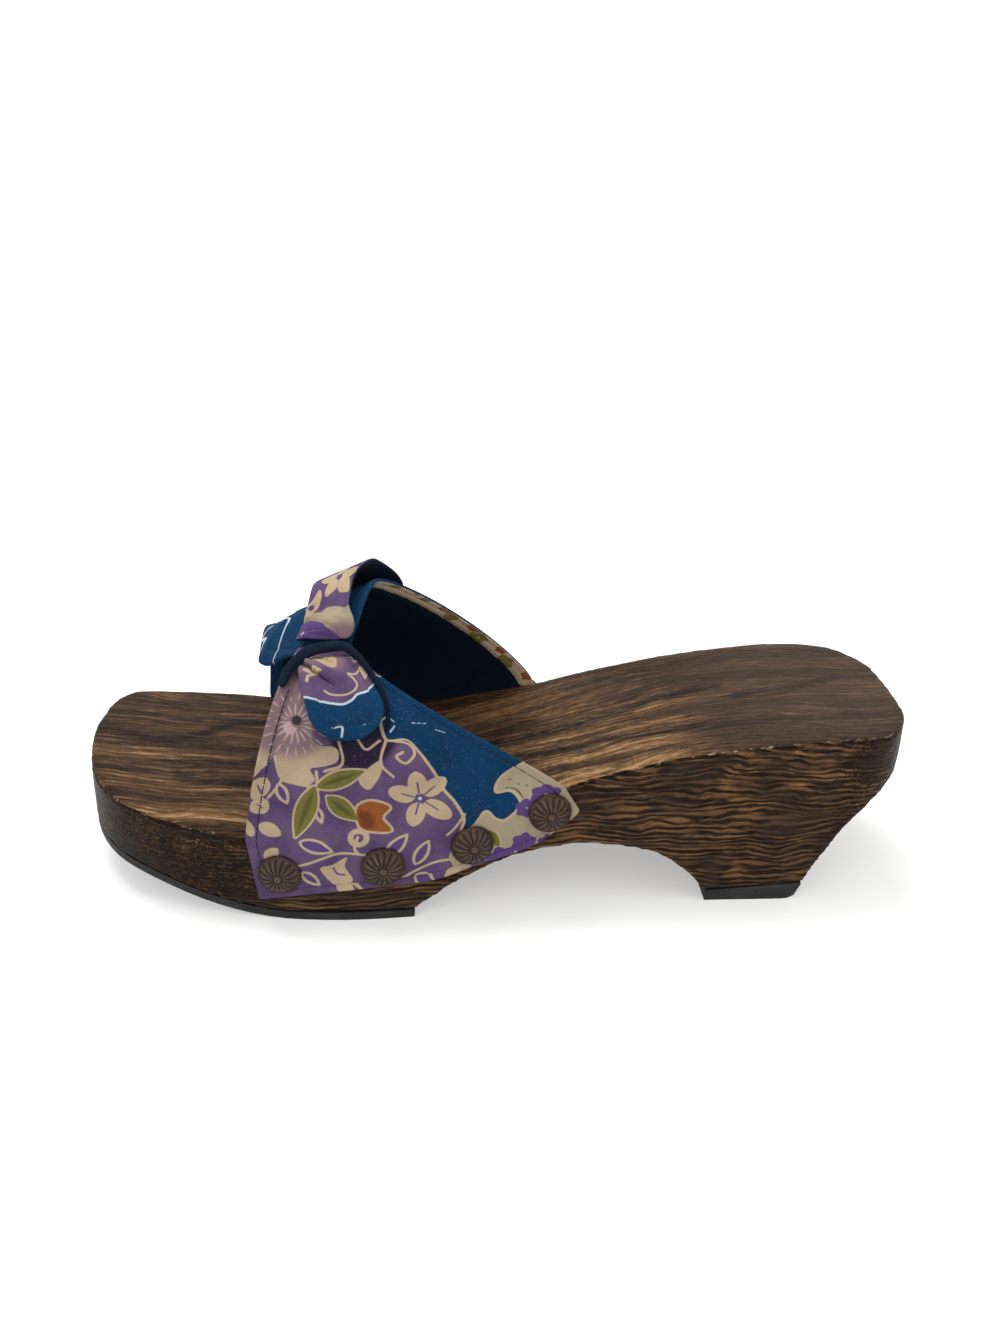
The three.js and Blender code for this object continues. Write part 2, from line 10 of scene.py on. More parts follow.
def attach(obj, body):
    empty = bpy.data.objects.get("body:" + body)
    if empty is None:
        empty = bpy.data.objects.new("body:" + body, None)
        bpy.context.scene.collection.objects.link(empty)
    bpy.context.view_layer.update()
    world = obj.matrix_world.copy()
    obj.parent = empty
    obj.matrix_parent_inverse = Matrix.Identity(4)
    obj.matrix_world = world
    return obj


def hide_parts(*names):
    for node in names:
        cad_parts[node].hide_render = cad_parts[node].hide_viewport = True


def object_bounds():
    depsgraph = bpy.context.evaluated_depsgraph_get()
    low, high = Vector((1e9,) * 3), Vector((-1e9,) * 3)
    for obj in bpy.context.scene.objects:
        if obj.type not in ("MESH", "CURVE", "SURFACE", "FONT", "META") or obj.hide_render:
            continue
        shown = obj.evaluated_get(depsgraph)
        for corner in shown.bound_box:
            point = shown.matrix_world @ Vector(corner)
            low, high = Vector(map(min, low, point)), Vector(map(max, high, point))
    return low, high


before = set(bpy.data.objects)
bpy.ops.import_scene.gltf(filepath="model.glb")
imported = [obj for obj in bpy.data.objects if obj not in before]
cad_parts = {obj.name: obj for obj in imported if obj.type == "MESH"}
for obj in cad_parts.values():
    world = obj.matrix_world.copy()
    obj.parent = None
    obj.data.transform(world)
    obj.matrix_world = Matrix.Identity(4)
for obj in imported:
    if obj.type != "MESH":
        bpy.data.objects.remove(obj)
cad_low, cad_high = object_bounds()

# Camera and studio. The view is from the outer side, a little behind the middle of the shoe and
# above it, over a pale floor, with a broad soft light from above and two weaker ones.
view_distance = 0.3405
view_elevation = math.radians(24.609)
view_turn = math.radians(-3.489)
view_roll = math.radians(2.003)
view_aim = Vector((0.0027, -0.0007, 0.0564))
photo_height = 1333
focal_pixels = 1200.3
sensor_side = 36

towards_camera = Vector((
    math.sin(view_turn) * math.cos(view_elevation),
    -math.cos(view_turn) * math.cos(view_elevation),
    math.sin(view_elevation),
))
camera_data = bpy.data.cameras.new("camera")
camera_data.sensor_width = sensor_side
camera_data.lens = focal_pixels / photo_height * sensor_side
camera_data.clip_start = 0.01
camera = bpy.data.objects.new("camera", camera_data)
camera.rotation_mode = "QUATERNION"
camera.location = view_aim + towards_camera * view_distance
straight_view = (-towards_camera).to_track_quat("-Z", "Y")
camera.rotation_quaternion = straight_view @ Quaternion((0, 0, 1), view_roll)
bpy.context.collection.objects.link(camera)
bpy.context.scene.camera = camera
bpy.context.scene.view_settings.view_transform = "Standard"


def soft_light(name, place, aim, side, power):
    """A square area light that looks at a point."""
    data = bpy.data.lights.new(name, "AREA")
    data.size = side
    data.energy = power
    light = bpy.data.objects.new(name, data)
    light.location = place
    light.rotation_mode = "QUATERNION"
    light.rotation_quaternion = (Vector(aim) - Vector(place)).to_track_quat("-Z", "Y")
    bpy.context.collection.objects.link(light)


soft_light("overhead_light", (-0.25, 0.30, 1.0), (0, 0, 0.03), 0.6, 9)
soft_light("front_light", (-0.7, -0.8, 0.55), (0, 0, 0.03), 0.7, 2.5)
soft_light("heel_light", (0.9, -0.35, 0.5), (0.03, 0, 0.03), 0.5, 1.6)
world = bpy.data.worlds.new("studio")
world.use_nodes = True
background = world.node_tree.nodes["Background"]
background.inputs["Color"].default_value = (1, 1, 1, 1)
background.inputs["Strength"].default_value = 1.0
bpy.context.scene.world = world


def mesh_of(name, made):
    """A bmesh turned into a mesh, and freed."""
    mesh = bpy.data.meshes.new(name)
    made.to_mesh(mesh)
    made.free()
    return mesh


def new_look(name, **fixed):
    """A material and its main shader, with the fixed inputs set."""
    look = bpy.data.materials.new(name)
    look.use_nodes = True
    shader = look.node_tree.nodes["Principled BSDF"]
    for key, value in fixed.items():
        shader.inputs[key.replace("_", " ").title().replace("Ior", "IOR")].default_value = value
    return look, shader


floor_side = 6
floor_grid = bmesh.new()
bmesh.ops.create_grid(floor_grid, x_segments=1, y_segments=1, size=floor_side)
floor = bpy.data.objects.new("floor", mesh_of("floor", floor_grid))
bpy.context.collection.objects.link(floor)
floor_look, _ = new_look("floor", base_color=(0.62, 0.62, 0.615, 1), emission_color=(1, 1, 1, 1),
                         emission_strength=0.36, roughness=0.9)
floor.data.materials.append(floor_look)

# Wooden body: footbed, waist and heel carved from one light, coarse-grained block, charred, wire
# brushed so that the hard grain stands up, then oiled. Its top edges are worn and chipped.
MM = 0.001
wood_voxel = 0.86 * MM
chip_depth = 0.45 * MM
brush_depth = 0.13 * MM
streak_reach = 1.9 * MM
top_pitch = 2.2
side_pitch = 1.6
band_scale = 0.314

# The worn edge faces up this far, within a spread, above this height. The grains are per metre
edge_facing = 0.62
edge_spread = 0.36
edge_above = 20 * MM
flake_grain = Vector((420, 420, 180))
crumb_grain = Vector((1100, 1100, 900))
brushed_grain = Vector((30, 520, 520))

# The dark streaks that stand out on the footbed, as (along, across) places in mm
dark_streaks = (
    ((-116, 12), (-102, 8.5), (-94, 6.5), (-86, 12.5), (-77, 21.5), (-60, 25)),
    ((-112, -11), (-94, -11.5), (-80, -13.5), (-60, -14), (-30, -13)),
    ((-30, -1), (7, -3), (24, -4), (37, -3), (49, 2), (66, 3.5)),
    ((8, -13), (23, -17), (30, -16), (46, -18), (70, -20.5), (90, -19), (113, -19)),
    ((72, -2), (88, 0), (102, 5.5)),
)


class Shade:
    """A socket in a material. Sums on shades add Math nodes, and node() adds any other."""

    def __init__(self, tree, socket=None):
        self.tree = tree
        self.socket = socket

    def node(self, kind, settings=None, inputs=None, output=0):
        made = self.tree.nodes.new(kind)
        for name, value in (settings or {}).items():
            if name == "stops":
                set_stops(made.color_ramp, value)
            else:
                setattr(made, name, value)
        for name, value in (inputs or {}).items():
            if isinstance(value, Shade):
                self.tree.links.new(value.socket, made.inputs[name])
            else:
                made.inputs[name].default_value = value
        return Shade(self.tree, made.outputs[output])

    def sum(self, operation, *values):
        return self.node("ShaderNodeMath", {"operation": operation}, dict(enumerate(values)))

    def __add__(self, other):
        return self.sum("ADD", self, other)

    def __sub__(self, other):
        return self.sum("SUBTRACT", self, other)

    def __rsub__(self, other):
        return self.sum("SUBTRACT", other, self)

    def __mul__(self, other):
        return self.sum("MULTIPLY", self, other)

    __radd__ = __add__
    __rmul__ = __mul__

    def part(self, axis):
        return self.node("ShaderNodeSeparateXYZ", None, {0: self}, axis)

    def in_mm(self):
        """Places on the object, in mm."""
        return self.node("ShaderNodeTexCoord", output="Object").stretched((1 / MM, 1 / MM, 1 / MM))

    def layer(self, name):
        return self.node("ShaderNodeAttribute", {"attribute_name": name}, output="Fac")

    def step(self, low, high, start=0.0, end=1.0):
        return self.node("ShaderNodeMapRange", {"interpolation_type": "SMOOTHSTEP"},
                         {0: self, 1: low, 2: high, 3: start, 4: end})

    def noise(self, scale, detail=3.0, roughness=0.5, distortion=0.0):
        """Noise at these places, with one scale or with one for each axis."""
        place, scale = (self.stretched(scale), 1) if isinstance(scale, tuple) else (self, scale)
        return self.node("ShaderNodeTexNoise", {"noise_dimensions": "3D"},
                         {"Vector": place, "Scale": scale, "Detail": detail,
                          "Roughness": roughness, "Distortion": distortion})

    def waves(self, axis, scale, distortion, detail=2.0, detail_scale=1.0, roughness=0.5):
        return self.node("ShaderNodeTexWave", {"bands_direction": axis},
                         {"Vector": self, "Scale": scale, "Distortion": distortion, "Detail": detail,
                          "Detail Scale": detail_scale, "Detail Roughness": roughness}, 1)

    def stretched(self, scale):
        return self.node("ShaderNodeVectorMath", {"operation": "MULTIPLY"}, {0: self, 1: scale})

    def shifted(self, other):
        return self.node("ShaderNodeVectorMath", {"operation": "ADD"}, {0: self, 1: other})

    def swayed(self, across, up):
        return self.shifted(self.node("ShaderNodeCombineXYZ", None, {0: 0.0, 1: across, 2: up}))

    def blend(self, factor, other):
        return self.node("ShaderNodeMix", {"data_type": "RGBA"}, {0: factor, 6: self, 7: other}, 2)

    def ramp(self, stops):
        return self.node("ShaderNodeValToRGB", {"stops": stops}, {0: self})

    def bump(self, distance, strength=1.0, over=None):
        inputs = {"Height": self, "Distance": distance, "Strength": strength}
        if over is not None:
            inputs["Normal"] = over
        return self.node("ShaderNodeBump", None, inputs)


def set_stops(ramp, stops):
    """Fills a colour ramp with (place, colour) pairs."""
    while len(ramp.elements) < len(stops):
        ramp.elements.new(1)
    for element, (place, colour) in zip(ramp.elements, stops):
        element.position = place
        element.color = (*colour, 1)


def shaded(name, **fixed):
    """A material, its shade for adding nodes, and its main shader with the fixed inputs set."""
    look, shader = new_look(name, **fixed)
    return look, Shade(look.node_tree), shader


def wire(shader, **links):
    """Feeds shades into the main shader's inputs."""
    for key, value in links.items():
        shader.id_data.links.new(value.socket, shader.inputs[key.replace("_", " ").title()])


def add_piece(name, mesh, looks, slot, *nodes):
    """Puts a finished piece on the shoe, in place of the nodes it stands for."""
    piece = bpy.data.objects.new(name, mesh)
    for look in looks:
        mesh.materials.append(look)
    mesh.shade_smooth()
    bpy.context.collection.objects.link(piece)
    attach(piece, "root")
    if nodes:
        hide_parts(*nodes)
    return piece


def baked(piece):
    """Applies a piece's modifiers to its mesh."""
    depsgraph = bpy.context.evaluated_depsgraph_get()
    mesh = bpy.data.meshes.new_from_object(piece.evaluated_get(depsgraph))
    piece.modifiers.clear()
    piece.data = mesh


# The body's loose triangles are joined in a copy, which is then remeshed evenly and worn
body = bmesh.new()
body.from_mesh(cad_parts["wood_body"].data)
bmesh.ops.remove_doubles(body, verts=body.verts, dist=0.01 * MM)
wood_tree = BVHTree.FromBMesh(body)
body_piece = add_piece("sandal_body", mesh_of("sandal_body", body), [], "burnt_wood", "wood_body")
remesh = body_piece.modifiers.new("remesh", "REMESH")
remesh.mode = "VOXEL"
remesh.voxel_size = wood_voxel
baked(body_piece)


def streaked(place):
    """How far a point of the footbed lies within the dark streaks, from 0 to 1."""
    spot = Vector((place.x, place.y))
    nearest = 1.0
    for line in dark_streaks:
        for start, end in zip(line, line[1:]):
            start, end = Vector(start) * MM, Vector(end) * MM
            share = (spot - start).dot(end - start) / (end - start).length_squared
            on_line = start.lerp(end, min(1, max(0, share)))
            nearest = min(nearest, (spot - on_line).length)
    return math.exp(-(nearest / streak_reach) ** 2)


surface = bmesh.new()
surface.from_mesh(body_piece.data)
bmesh.ops.smooth_vert(surface, verts=surface.verts, factor=0.5,
                      use_axis_x=True, use_axis_y=True, use_axis_z=True)
surface.normal_update()
worn = surface.verts.layers.float.new("worn")
dark = surface.verts.layers.float.new("streak")
for vert in surface.verts:
    place, normal = vert.co, vert.normal
    ridge = max(0.0, 1 - abs(normal.z - edge_facing) / edge_spread) if place.z > edge_above else 0.0
    flake = noise.noise(place * flake_grain) + 0.6 * noise.noise(place * crumb_grain)
    flake = max(0.0, flake + 0.12)
    vert[worn] = ridge * min(1.0, 0.35 + 1.6 * flake)
    vert[dark] = streaked(place) if normal.z > 0.5 else 0.0
    sunk = ridge * flake * chip_depth + noise.noise(place * brushed_grain) * brush_depth
    vert.co = place - normal * sunk
surface.to_mesh(body_piece.data)
surface.free()
body_piece.data.shade_smooth()

wood_look, shade, shader = shaded("charred_wood", coat_roughness=0.20, specular_ior_level=0.06)
place = shade.in_mm()
along, across, height_up = (place.part(axis) for axis in range(3))
facing = shade.node("ShaderNodeTexCoord", output="Normal").part(2)
top = facing.step(0.58, 0.74)
toe_part = along.step(-50, -80)
heel_end = along.step(84, 104)
sway = place.noise((0.018, 0.03, 0.03), 2) - 0.5
warped = place.swayed(sway * 16, sway * 10)

# On top the grain runs along the shoe, in fine dark lines with wide dark and golden bands. The golden
# bands lie in three zones; on the ramp they are partly painted light where it faces the light, and
# along its near edge partly painted glints.
fibre = warped.noise((0.075, 1.5, 0.5), 5, 0.68).step(0.30, 0.70)
bands = warped.noise((0.007, 0.14, 0.05), 3, 0.6, 0.4)
pores = warped.noise((0.22, 2.6, 1.2), 2, 0.55)
# The flecks are short golden fibres, also painted lighter as glints
flecks_and_glints = warped.shifted((9, 4, 2)).noise((0.26, 1.9, 0.9), 3, 0.62).step(0.55, 0.70)
lines = warped.stretched((0.03, 1.0, 0.3)).waves("Y", band_scale / top_pitch, 14.0, 3.0, 0.35, 0.6)
# The ripple is the ramp's figure, raised in the relief and also painted lighter as a sheen
ripple_and_sheen = place.noise((0.55, 0.16, 0.16), 2, 0.5, 0.6).step(0.45, 0.70)
ramp_gold_and_light = along.step(0, 20) * along.step(70, 44) * across.step(24, 0)
edge_gold_and_glint = along.step(4, 18) * along.step(66, 46) * across.step(-15, -21)
toe_gold = along.step(-40, -62) * along.step(-118, -98) * across.step(12, -18)
gold_and_light = (ramp_gold_and_light * 0.8 + edge_gold_and_glint * 0.5 + toe_gold) * bands.step(0.34, 0.60)
seam = warped.noise((0.004, 0.075, 0.03), 2)
seam_line = shade.sum("ABSOLUTE", seam - 0.48).step(0.0, 0.016, 0.22, 0.0)
top_value = fibre * 0.30 + bands.step(0.28, 0.72) * 0.32 + lines * 0.12 + gold_and_light * 0.24 + 0.09
top_value = top_value - seam_line * (1.2 - gold_and_light) * 0.6
top_value = top_value - shade.layer("streak") * fibre.step(1.0, 0.0, 0.16, 0.46)
top_value = top_value + pores.step(0.34, 0.58, -0.15, 0.05) + flecks_and_glints * 0.16 + ripple_and_sheen * ramp_gold_and_light * 0.06

# On the sides it shows as wavy dark and tan lines about a millimetre apart, between dark blotches,
# and as a finer mottle round the toe
side_sway = place.noise((0.06, 0.09, 0.10), 2) - 0.5
rolling = warped.swayed(0.0, side_sway * 6)
layers = rolling.stretched((0.13, 0.3, 1.0)).waves("Z", band_scale / side_pitch, 8.0, 3.0, 0.5, 0.66)
broken = rolling.noise((0.105, 0.4, 1.05), 4, 0.64, 0.5)
knots = place.noise((0.20, 0.20, 0.34), 4, 0.62, 2.6)
mottle = knots * 0.5 + shade.sum("ABSOLUTE", knots - 0.5).step(0.0, 0.06, 0.34, 0.04)
dashes = rolling.shifted((3, 7, 5)).noise((0.13, 0.4, 1.0), 3, 0.6, 0.5).step(0.54, 0.68)
blotch = place.noise((0.055, 0.06, 0.11), 3, 0.6, 0.5)
turned_grain = toe_part * 0.7 + heel_end * 0.45
side_grain = (layers * 0.42 + broken.step(0.30, 0.70) * 0.58) * (1 - turned_grain)
side_grain = side_grain + mottle.step(0.22, 0.78) * turned_grain
side_value = side_grain.step(0.22, 0.76) * 0.52 + blotch.step(0.32, 0.66) * 0.28
side_value = side_value - toe_part * 0.04 - 0.06
side_value = side_value + dashes * height_up.step(18, 44) * 0.22 * (1 - heel_end * 0.5)

# Along the edge the colour is darkened, and where it is worn or chipped it is lightened: partly as
# bare wood, partly as a painted highlight, brightest along the ramp's edge. The coat there is real gloss.
# A broken dark line is painted along the top edge: painted shade in the edge's turn and its notches
notches = place.noise((0.55, 0.8, 0.8), 3, 0.65).step(0.36, 0.56)
painted_edge_shade = facing.step(0.16, 0.40) * facing.step(0.74, 0.52) * notches
value = top_value * top + side_value * (1 - top) - painted_edge_shade * 0.26
burnt = value.ramp((
    (0.08, (0.0050, 0.0026, 0.0016)), (0.26, (0.017, 0.0086, 0.0044)), (0.44, (0.041, 0.0205, 0.0100)),
    (0.60, (0.080, 0.0400, 0.0172)), (0.78, (0.155, 0.081, 0.032)), (0.96, (0.32, 0.186, 0.080)),
))
ash = blotch.step(0.52, 0.32) * (1 - top) * 0.30
burnt = burnt.blend(ash + top * along.step(44, 84) * 0.36, (0.058, 0.039, 0.028, 1))
glint = place.noise((0.8, 1.5, 1.5), 3, 0.65).step(0.44, 0.58)
wear_and_glint = shade.layer("worn").step(0.30, 0.80) * glint
# The painted highlight is brighter in this stretch of the edge
painted_glint_zone = along.step(12, 24) * along.step(88, 72)
colour = burnt.blend(wear_and_glint * (painted_glint_zone * 0.35 + 0.55), (0.26, 0.182, 0.128, 1))
top_height = fibre * 0.5 + pores * 0.35 + ripple_and_sheen * 0.15
side_height = (layers * 0.35 + broken * 0.65) * (1 - turned_grain) + mottle * turned_grain
relief = (top_height * top + side_height * (1 - top)).bump(0.60 * MM, 0.85)
fine = place.noise((1.4, 2.6, 2.6), 3, 0.65)
wire(shader, base_color=colour, roughness=fine.step(0.3, 0.7, 0.34, 0.58) - wear_and_glint * 0.10,
     normal=fine.bump(0.12 * MM, 0.6, relief), coat_weight=wear_and_glint * 0.7 + flecks_and_glints * (0.06 + gold_and_light * 0.30) * top)
body_piece.data.materials.append(wood_look)

# Treads: black rubber slabs glued under forefoot and heel, moulded with a fine cross rib so that
# the wooden sole doesn't slip or clack.
rib_pitch = 3.2
rubber_look, shade, shader = shaded("black_rubber", specular_ior_level=0.35)
place = shade.in_mm()
rib = place.waves("X", 1 / rib_pitch / 3.14, 0.0)
under = shade.node("ShaderNodeTexCoord", output="Normal").part(2)
grit = place.noise(2.2, 4, 0.7)
rubber_height = rib.step(0.35, 0.65) * under.step(-0.5, -0.9) + grit * 0.16
dust = place.noise((0.12, 0.12, 0.4)).step(0.45, 0.75)
rubber_colour = dust.ramp(((0.0, (0.009, 0.009, 0.010)), (1.0, (0.026, 0.024, 0.023))))
wire(shader, base_color=rubber_colour, roughness=grit.step(0.3, 0.7, 0.62, 0.85),
     normal=rubber_height.bump(0.5 * MM, 0.7))
for name in ("forefoot_tread", "heel_tread"):
    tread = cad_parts[name]
    tread.data.materials.clear()
    tread.data.materials.append(rubber_look)

# Upper: two lined cotton panels. Each is tacked to the wood's side by its hem, bends over the
# footbed's edge and rises to the half knot; the inner one dips under the outer at the crossing.
shoe_length = 0.233
ball_width = 0.086
toe_x = cad_high.x - shoe_length
middle_y = -0.7 * MM
arch_rise = 65 * MM
instep_rise = 77 * MM
seat_gap = 0.3 * MM
cloth_wall = 1.6 * MM
cloth_thickness = 1.45 * MM
on_wood = 0.26
crown_at = 0.80
hem_droop = 9 * MM
droop_span = 0.24
stitch_inset = 2.9 * MM
turned_hem = 4.0 * MM


def lerp(a, b, t):
    return a + (b - a) * t


def smooth(t):
    t = np.clip(t, 0, 1)
    return t * t * (3 - 2 * t)


def curve_of(rows):
    """A smooth curve through (place, value) rows."""
    at, value = np.array(rows, float).T
    before = np.maximum(np.arange(len(at)) - 1, 0)
    after = np.minimum(np.arange(len(at)) + 1, len(at) - 1)
    slope = (value[after] - value[before]) / (at[after] - at[before])

    def read(x):
        x = np.asarray(x, float)
        i = np.clip(np.searchsorted(at, x, side="right") - 1, 0, len(at) - 2)
        span = at[i + 1] - at[i]
        t = np.clip((x - at[i]) / span, 0, 1)
        rise = value[i + 1] - value[i]
        start, end = slope[i] * span, slope[i + 1] * span
        bend = 3 * rise - 2 * start - end
        twist = start + end - 2 * rise
        return value[i] + start * t + bend * t**2 + twist * t**3
    return read


def unit(vectors):
    return vectors / np.linalg.norm(vectors, axis=-1, keepdims=True)


def seen_from(start, direction):
    """Where a line from a point first meets the wood."""
    return wood_tree.ray_cast(Vector(start), Vector(direction))[0]


afar = 0.2
below_edge = 3 * MM
stations = np.linspace(toe_x + 12 * MM, toe_x + 190 * MM, 120)
footbed_heights = np.array([seen_from((x, 0, afar), (0, 0, -1)).z for x in stations])
side_places = {
    sign: np.array([
        seen_from((x, sign * afar, z - below_edge), (0, -sign, 0)).y
        for x, z in zip(stations, footbed_heights)
    ])
    for sign in (-1, 1)
}


def footbed(x):
    return np.interp(x, stations, footbed_heights)


def over_footbed(along, out, z):
    return np.array((toe_x + along * shoe_length, middle_y + out * ball_width / 2, z))


hem_lift = curve_of((
    (0, 0), (0.16, 0.11), (0.32, 0.18), (0.55, 0.245), (0.66, 0.36), (0.76, 0.45), (0.845, 0.555),
    (0.905, 0.69), (0.975, 0.90), (1, 1),
))
outer_panel = {
    "sign": -1, "hem": (0.236, 0.5987), "hem_height": (0.285, 0.7975), "edge": (0.2245, 0.5815),
    "crown": (over_footbed(0.2747, -0.256, arch_rise), over_footbed(0.3391, -0.256, arch_rise)),
    "bulge": (2.5, 1.9),
}
inner_panel = {
    "sign": 1, "hem": (0.2124, 0.588), "hem_height": (0.284, 0.8125), "edge": (0.2039, 0.5644),
    "crown": (over_footbed(0.2232, 0.093, arch_rise - cloth_wall),
              over_footbed(0.3605, 0.186, instep_rise)),
    "bulge": (2.1, 2),
}
tuck_height = arch_rise - 0.7 * cloth_wall
tuck = (over_footbed(0.2768, -0.3256, tuck_height), over_footbed(0.3262, -0.3256, tuck_height))


def joined(x, y, z):
    return np.stack(np.broadcast_arrays(x, y, z), axis=-1)


def beside_wood(panel, x, z):
    sign = panel["sign"]
    return joined(x, np.interp(x, stations, side_places[sign]) + sign * seat_gap, z)


def hem_of(panel, u):
    toe, heel = (toe_x + share * shoe_length for share in panel["hem"])
    low, high = (share * footbed(x) for share, x in zip(panel["hem_height"], (toe, heel)))
    return lerp(toe, heel, u), lerp(low, high, hem_lift(u))


def panel_point(panel, u, s):
    """The inner face: u runs from toe edge to heel edge, s from the hem to the crown."""
    hem_x, hem_z = hem_of(panel, u)
    edge_x = toe_x + lerp(*panel["edge"], u) * shoe_length
    edge_z = footbed(edge_x)
    t = np.clip(s / on_wood, 0, 1)
    flat = beside_wood(panel, lerp(hem_x, edge_x, t), lerp(hem_z, edge_z, t))
    climb = np.clip((s - on_wood) / (1 - on_wood), 0, 1)
    angle = climb * math.pi / 2
    power = 2 / lerp(*panel["bulge"], u)
    foot = beside_wood(panel, edge_x, edge_z)
    crown = lerp(panel["crown"][0], panel["crown"][1], np.asarray(u)[..., None])
    reach = lerp(climb, np.sin(angle) ** 1.25, u)
    arch = joined(
        lerp(foot[..., 0], crown[..., 0], reach),
        lerp(crown[..., 1], foot[..., 1], np.cos(angle) ** power),
        lerp(foot[..., 2], crown[..., 2], np.sin(angle) ** power),
    )
    return np.where((s <= on_wood)[..., None], flat, arch)


def outer_point(u, s):
    return panel_point(outer_panel, u, np.clip(s, 0, 1))


def inner_point(u, s):
    """The inner panel goes on past its crown, under the outer one, and its toe edge droops."""
    s = np.clip(s, 0, 1)
    droop = hem_droop * np.clip(1 - u / droop_span, 0, 1) ** 1.6 * smooth((s - 0.45) / 0.4)
    before = panel_point(inner_panel, u, np.clip(s / crown_at, 0, 1))
    before = before - joined(0 * droop, 0, droop)
    t = np.clip((s - crown_at) / (1 - crown_at), 0, 1)
    crown = panel_point(inner_panel, u, np.ones_like(s))
    under = lerp(tuck[0], tuck[1], np.asarray(u)[..., None])
    after = joined(
        lerp(crown[..., 0], under[..., 0], t),
        lerp(crown[..., 1], under[..., 1], t),
        lerp(crown[..., 2], under[..., 2], smooth(t)) - droop * (1 - smooth(t)),
    )
    return np.where((s <= crown_at)[..., None], before, after)


def lifted(point, sign, u, s, height):
    """A point raised off a panel's inner face."""
    near = 0.004
    across = point(u + near, s) - point(u - near, s)
    up = point(u, s + near) - point(u, s - near)
    return point(u, s) + unit(sign * np.cross(up, across)) * np.asarray(height)[..., None]


def over_outer(u, s, height):
    return lifted(outer_point, -1, u, s, height)


def over_inner(u, s, height):
    return lifted(inner_point, 1, u, s, height)


class Chart:
    """Cloth laid flat. Distances in mm from its points to printed shapes, below 0 inside them."""

    def __init__(self, a, b):
        self.points = np.stack((a.ravel(), b.ravel()), axis=-1)

    @staticmethod
    def through(points, closed=False, count=6):
        """Points along a smooth curve through the given ones."""
        points = np.array(points, float)
        if closed:
            padded = np.vstack((points[-1:], points, points[:2]))
        else:
            before, after = 2 * points[:1] - points[1:2], 2 * points[-1:] - points[-2:-1]
            padded = np.vstack((before, points, after))
        t = np.arange(count)[:, None] / count
        made = []
        for p, q, r, s in zip(padded, padded[1:], padded[2:], padded[3:]):
            made.append(0.5 * (2 * q + (r - p) * t + (2 * p - 5 * q + 4 * r - s) * t**2
                               + (3 * q - p - 3 * r + s) * t**3))
        return np.vstack(made + ([] if closed else [points[-1:]]))

    def beside(self, start, end):
        """How far along a straight line the points lie, from 0 to 1, and how far from it."""
        span = end - start
        share = np.clip((self.points - start) @ span / max(span @ span, 1e-12), 0, 1)
        return share, np.linalg.norm(self.points - start - share[:, None] * span, axis=1)

    def from_line(self, line):
        nearest = np.full(len(self.points), 1e9)
        for start, end in zip(line, line[1:]):
            nearest = np.minimum(nearest, self.beside(start, end)[1])
        return nearest

    def stroke(self, points, width):
        return self.from_line(self.through(points)) - width / 2

    def strokes(self, lines, width):
        return any_of(self.stroke(line, width) for line in lines)

    def patch(self, points):
        loop = self.through(points, closed=True)
        loop = np.vstack((loop, loop[:1]))
        inside = np.zeros(len(self.points), bool)
        x, y = self.points.T
        for (ax, ay), (bx, by) in zip(loop, loop[1:]):
            crosses = (ay > y) != (by > y)
            inside ^= crosses & (x < (bx - ax) * (y - ay) / (by - ay if by != ay else 1e-12) + ax)
        return self.from_line(loop) * np.where(inside, -1, 1)

    def leaf(self, base, tip, width, blunt=0.85):
        base, tip = np.array(base, float), np.array(tip, float)
        span = tip - base
        length = np.linalg.norm(span)
        ahead = span / length
        along = (self.points - base) @ ahead / length
        off = np.abs((self.points - base) @ np.array((-ahead[1], ahead[0])))
        half = width / 2 * np.sin(np.pi * np.clip(along, 0, 1) ** 0.85) ** blunt
        past = np.maximum(np.maximum(-along, along - 1), 0) * length
        return np.where(past > 0, np.hypot(off, past), off - half)

    def leaves(self, rows, blunt=0.85):
        return any_of(self.leaf(*row, blunt=blunt) for row in rows)

    def disc(self, centre, radius):
        return np.linalg.norm(self.points - centre, axis=1) - radius

    def petals(self, centre, reach, count, width, turn=0.0, hollow=0.12, blunt=0.55):
        """Leaves set round a centre, from a hollow in it to their full reach."""
        made = []
        for i in range(count):
            ahead = heading(turn + i * 2 * math.pi / count) * reach
            made.append(self.leaf(centre + ahead * hollow, centre + ahead, width, blunt))
        return any_of(made)

    def flowers(self, spots, count, broad):
        """Flowers at (centre, reach) spots, their petals as broad as a share of the reach."""
        return any_of(self.petals(centre, reach, count, reach * broad, centre[0]) for centre, reach in spots)

    def bloom(self, centre, reach):
        """The whole outline of a flower of five broad petals, with a notch between them."""
        corners = []
        for petal in range(5):
            for ahead, far in ((-0.36, 0.94), (0, 1), (0.36, 0.94), (0.63, 0.66)):
                corners.append(centre + reach * far * heading(centre[0] + petal * 2 * math.pi / 5 + ahead))
        return self.patch(corners)


def heading(angle):
    return np.array((math.cos(angle), math.sin(angle)))


def any_of(shapes):
    return np.minimum.reduce(list(shapes))


# The print's layers, each over those before it, and how softly some of them fade, in mm. The first,
# deep, is no ink but a painted shadow that the tab casts on the outer panel.
inks = ("deep", "blue", "sand", "pale", "mum", "blush", "cream", "violet", "green", "moss", "orange",
        "rust", "white", "dark")
soft_inks = {"mum": 2.2, "deep": 1.2, "moss": 0.5, "rust": 0.9}
sharp_ink = 0.13
no_ink = 9.0


